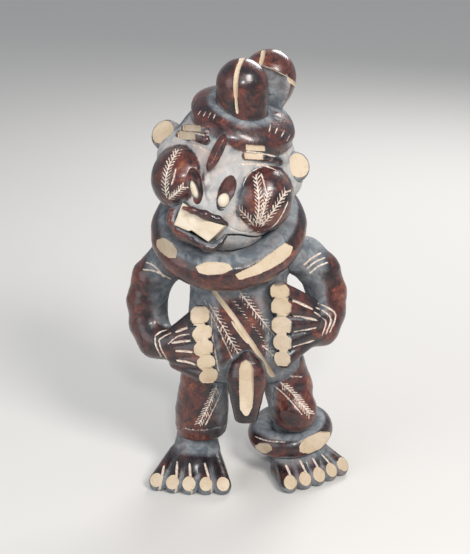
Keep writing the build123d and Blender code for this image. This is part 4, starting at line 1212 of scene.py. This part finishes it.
def dark_wood():
    k = Nodes("burnished_dark_wood")
    big, mid = k.noise(40, 5, 0.6, distort=0.6), k.noise(125, 6, 0.66, distort=0.8)
    fine, speck = k.noise(620, 4, 0.6), k.noise(2100, 2, 0.5)
    grain = k.noise(95, 6, 0.62, stretch=(2.2, 2.2, 0.35))
    cream0, line_mark0, occ, dust0, slip_and_shade0, glow0 = (k.attr(n) for n in ("cream", "line_mark", "hollow", "dust", "slip_and_shade", "glow"))
    # pale cut wood, its rim broken up
    cream = k.ramp(k.math("ADD", cream0, k.math("MULTIPLY", k.math("SUBTRACT", mid, 0.5), 0.55)), 0.36, 0.52)
    line_mark = k.ramp(k.math("ADD", line_mark0, k.math("MULTIPLY", k.math("SUBTRACT", fine, 0.5), 0.9)), 0.30, 0.62)
    # grey dust settles in hollows; on the face this share also carries the painted blue-grey shade of the cheeks'
    # inner flanks
    d = k.math("ADD", k.math("ADD", occ, dust0), k.math("MULTIPLY", k.math("SUBTRACT", big, 0.5), 0.34))
    d = k.math("ADD", d, k.math("MULTIPLY", k.math("SUBTRACT", fine, 0.5), 0.22))
    dust = k.ramp(d, 0.22, 0.66, 0.0, 0.92)
    # red-brown glow where the stain is rubbed thin
    g = k.math("ADD", k.math("ADD", k.math("MULTIPLY", mid, 0.75), k.math("MULTIPLY", big, 0.55)), glow0)
    red = k.ramp(g, 0.585, 0.84)
    gold = k.ramp(k.math("ADD", g, k.math("MULTIPLY", k.math("SUBTRACT", fine, 0.5), 0.5)), 0.76, 1.02, 0, 0.85)
    base = k.mix(red, (0.0110, 0.0072, 0.0098), (0.108, 0.0245, 0.0175))
    base = k.mix(gold, base, (0.36, 0.105, 0.028))
    base = k.mix(k.ramp(grain, 0.52, 0.72, 0, 0.35), base, (0.006, 0.0035, 0.004))
    base = k.mix(k.ramp(speck, 0.60, 0.72, 0, 0.30), base, (0.16, 0.085, 0.05))
    # grey of the dust; its blue tint is a painted cool sheen
    grey = k.mix(k.ramp(mid, 0.35, 0.7), (0.095, 0.112, 0.130), (0.265, 0.285, 0.295))
    grey = k.mix(k.ramp(big, 0.48, 0.70, 0, 0.5), grey, (0.175, 0.120, 0.110))
    base = k.mix(dust, base, grey)
    slip = k.mix(k.ramp(mid, 0.32, 0.68), (0.30, 0.315, 0.325), (0.49, 0.462, 0.435))
    slip = k.mix(k.ramp(big, 0.46, 0.66, 0, 0.6), slip, (0.55, 0.43, 0.37))
    # pale slip, thinned in deep hollows so the darker grey beneath shows there as painted shade; the painted shadow
    # spots on the face come in with the slip share
    c = k.math("ADD", slip_and_shade0, k.math("MULTIPLY", k.math("SUBTRACT", mid, 0.5), 0.9))
    c = k.math("SUBTRACT", k.math("ADD", c, k.math("MULTIPLY", k.math("SUBTRACT", fine, 0.5), 0.5)), k.math("MULTIPLY", k.ramp(occ, 0.42, 0.85), 0.35))
    slip_and_shade = k.ramp(c, 0.12, 0.92, 0.0, 0.94)
    base = k.mix(slip_and_shade, base, slip)
    # near-black where a line mark is negative: painted shadow in the cracks and in the gaps between the nails
    base = k.mix(k.ramp(line_mark0, -0.12, -0.6), base, (0.005, 0.0035, 0.0035))
    pink = k.mix(k.ramp(fine, 0.35, 0.7), (0.48, 0.37, 0.30), (0.74, 0.65, 0.56))
    base = k.mix(line_mark, base, pink)
    pale = k.mix(k.ramp(big, 0.35, 0.68), (0.57, 0.465, 0.345), (0.475, 0.365, 0.245))
    pale = k.mix(k.ramp(k.noise(360, 5, 0.7), 0.50, 0.78, 0, 0.55), pale, (0.33, 0.232, 0.145))
    pale = k.mix(k.ramp(voronoi(k, 900), 0.10, 0.03, 0, 0.55), pale, (0.24, 0.15, 0.085))
    base = k.mix(cream, base, pale)
    k.link(base, k.bsdf.inputs["Base Color"])
    matt = k.math("MAXIMUM", k.math("MAXIMUM", dust, slip_and_shade), k.math("MAXIMUM", cream, line_mark))
    gloss = k.ramp(mid, 0.3, 0.75, 0.24, 0.40)
    k.link(k.mixf(matt, gloss, k.ramp(fine, 0.3, 0.7, 0.62, 0.82)), k.bsdf.inputs["Roughness"])
    k.bsdf.inputs["Specular IOR Level"].default_value = 0.5
    k.link(k.mixf(matt, 0.35, 0.0), k.bsdf.inputs["Coat Weight"])
    k.bsdf.inputs["Coat Roughness"].default_value = 0.16
    h = k.math("ADD", k.math("MULTIPLY", grain, 0.8), k.math("MULTIPLY", k.noise(260, 5, 0.6), 0.7))
    n1 = k.bump(h, 0.45, 0.00045)
    h2 = k.math("ADD", fine, k.math("MULTIPLY", speck, 0.6))
    n2 = k.bump(k.math("MULTIPLY", h2, k.mixf(matt, 0.35, 1.0)), 0.5, 0.00022, n1)
    k.link(n2, k.bsdf.inputs["Normal"])
    return k.mat


def pale_wood():
    k = Nodes("cut_pale_wood")
    big, mid, fine = k.noise(60, 5, 0.6), k.noise(240, 5, 0.62), k.noise(900, 4, 0.6)
    occ, cream0 = k.attr("hollow"), k.attr("cream")
    pale = k.mix(k.ramp(big, 0.35, 0.68), (0.66, 0.575, 0.46), (0.55, 0.455, 0.335))
    pale = k.mix(k.ramp(mid, 0.50, 0.78, 0, 0.5), pale, (0.47, 0.31, 0.16))
    pale = k.mix(k.ramp(voronoi(k, 800), 0.10, 0.03, 0, 0.6), pale, (0.26, 0.16, 0.09))
    d = k.math("ADD", k.math("ADD", occ, k.attr("dust")), k.math("MULTIPLY", k.math("SUBTRACT", mid, 0.5), 0.4))
    pale = k.mix(k.ramp(d, 0.42, 0.78, 0.0, 0.9), pale, (0.115, 0.112, 0.110))
    k.link(pale, k.bsdf.inputs["Base Color"])
    k.link(k.ramp(fine, 0.3, 0.7, 0.55, 0.75), k.bsdf.inputs["Roughness"])
    n1 = k.bump(k.noise(170, 6, 0.6, stretch=(0.5, 1.6, 2.4)), 0.4, 0.0005)
    k.link(k.bump(fine, 0.4, 0.00025, n1), k.bsdf.inputs["Normal"])
    return k.mat


def peg_wood():
    k = Nodes("turned_peg_wood")
    g = k.noise(120, 5, 0.6, stretch=(2, 2, 0.3))
    k.link(k.mix(k.ramp(g, 0.3, 0.7), (0.42, 0.25, 0.12), (0.25, 0.13, 0.06)), k.bsdf.inputs["Base Color"])
    k.link(k.ramp(g, 0.3, 0.7, 0.5, 0.7), k.bsdf.inputs["Roughness"])
    k.link(k.bump(g, 0.4, 0.0004), k.bsdf.inputs["Normal"])
    return k.mat


DARK, PALE, PEG = dark_wood(), pale_wood(), peg_wood()
for pc in PIECES:
    build(pc, PALE if pc.material == "pale" else DARK)
shown = {n for pc in PIECES for n in pc.nodes}
for name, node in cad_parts.items():
    node.data.materials.clear()
    node.data.materials.append(PEG if name.endswith("_peg") or "_peg_" in name else DARK)

# ------------------------------------------------------------------ floor, light and camera
fm = bpy.data.meshes.new("floor")
L = 6.0
fm.from_pydata([(-L, -L, -0.0002), (L, -L, -0.0002), (L, L, -0.0002), (-L, L, -0.0002)], [], [(0, 1, 2, 3)])
floor = bpy.data.objects.new("floor", fm)
bpy.context.scene.collection.objects.link(floor)
fmat = Nodes("pale_floor")
fmat.bsdf.inputs["Base Color"].default_value = (0.62, 0.60, 0.57, 1)
fmat.bsdf.inputs["Roughness"].default_value = 0.85
fm.materials.append(fmat.mat)

world = bpy.data.worlds.new("studio")
bpy.context.scene.world = world
world.use_nodes = True
bg = world.node_tree.nodes["Background"]
bg.inputs[0].default_value = (0.80, 0.84, 0.90, 1)
bg.inputs[1].default_value = 0.55


from mathutils import Vector


def area(name, loc, size, power, colour=(1, 1, 1)):
    d = bpy.data.lights.new(name, "AREA")
    d.shape, d.size, d.energy, d.color = "DISK", size, power, colour
    o = bpy.data.objects.new(name, d)
    bpy.context.scene.collection.objects.link(o)
    o.location = loc
    aim = np.array([0, 0, 0.15]) - np.array(loc)
    o.rotation_euler = Vector(aim).to_track_quat("-Z", "Y").to_euler()
    return o


area("key", (0.55, -0.75, 0.95), 0.40, 11.5, (1.0, 0.97, 0.93))
area("fill", (-0.95, -0.60, 0.50), 0.9, 4.0, (0.92, 0.96, 1.0))
area("front", (0.06, -0.80, 0.62), 0.10, 2.6, (0.96, 0.98, 1.0))
area("rim", (0.35, 0.80, 0.75), 0.5, 6.0)

cam_d = bpy.data.cameras.new("view")
cam = bpy.data.objects.new("view", cam_d)
bpy.context.scene.collection.objects.link(cam)
cam_d.lens, cam_d.sensor_width, cam_d.sensor_fit = 76.57, 36.0, "AUTO"
cam_d.clip_start, cam_d.clip_end = 0.05, 50
cam.location = ((EYE + np.array([AX, AY, 0])) / 1000.0).tolist()
cam.rotation_euler = (math.pi / 2 - TILT, 0, 0)
bpy.context.scene.camera = cam
bpy.context.scene.view_settings.view_transform = "Standard"
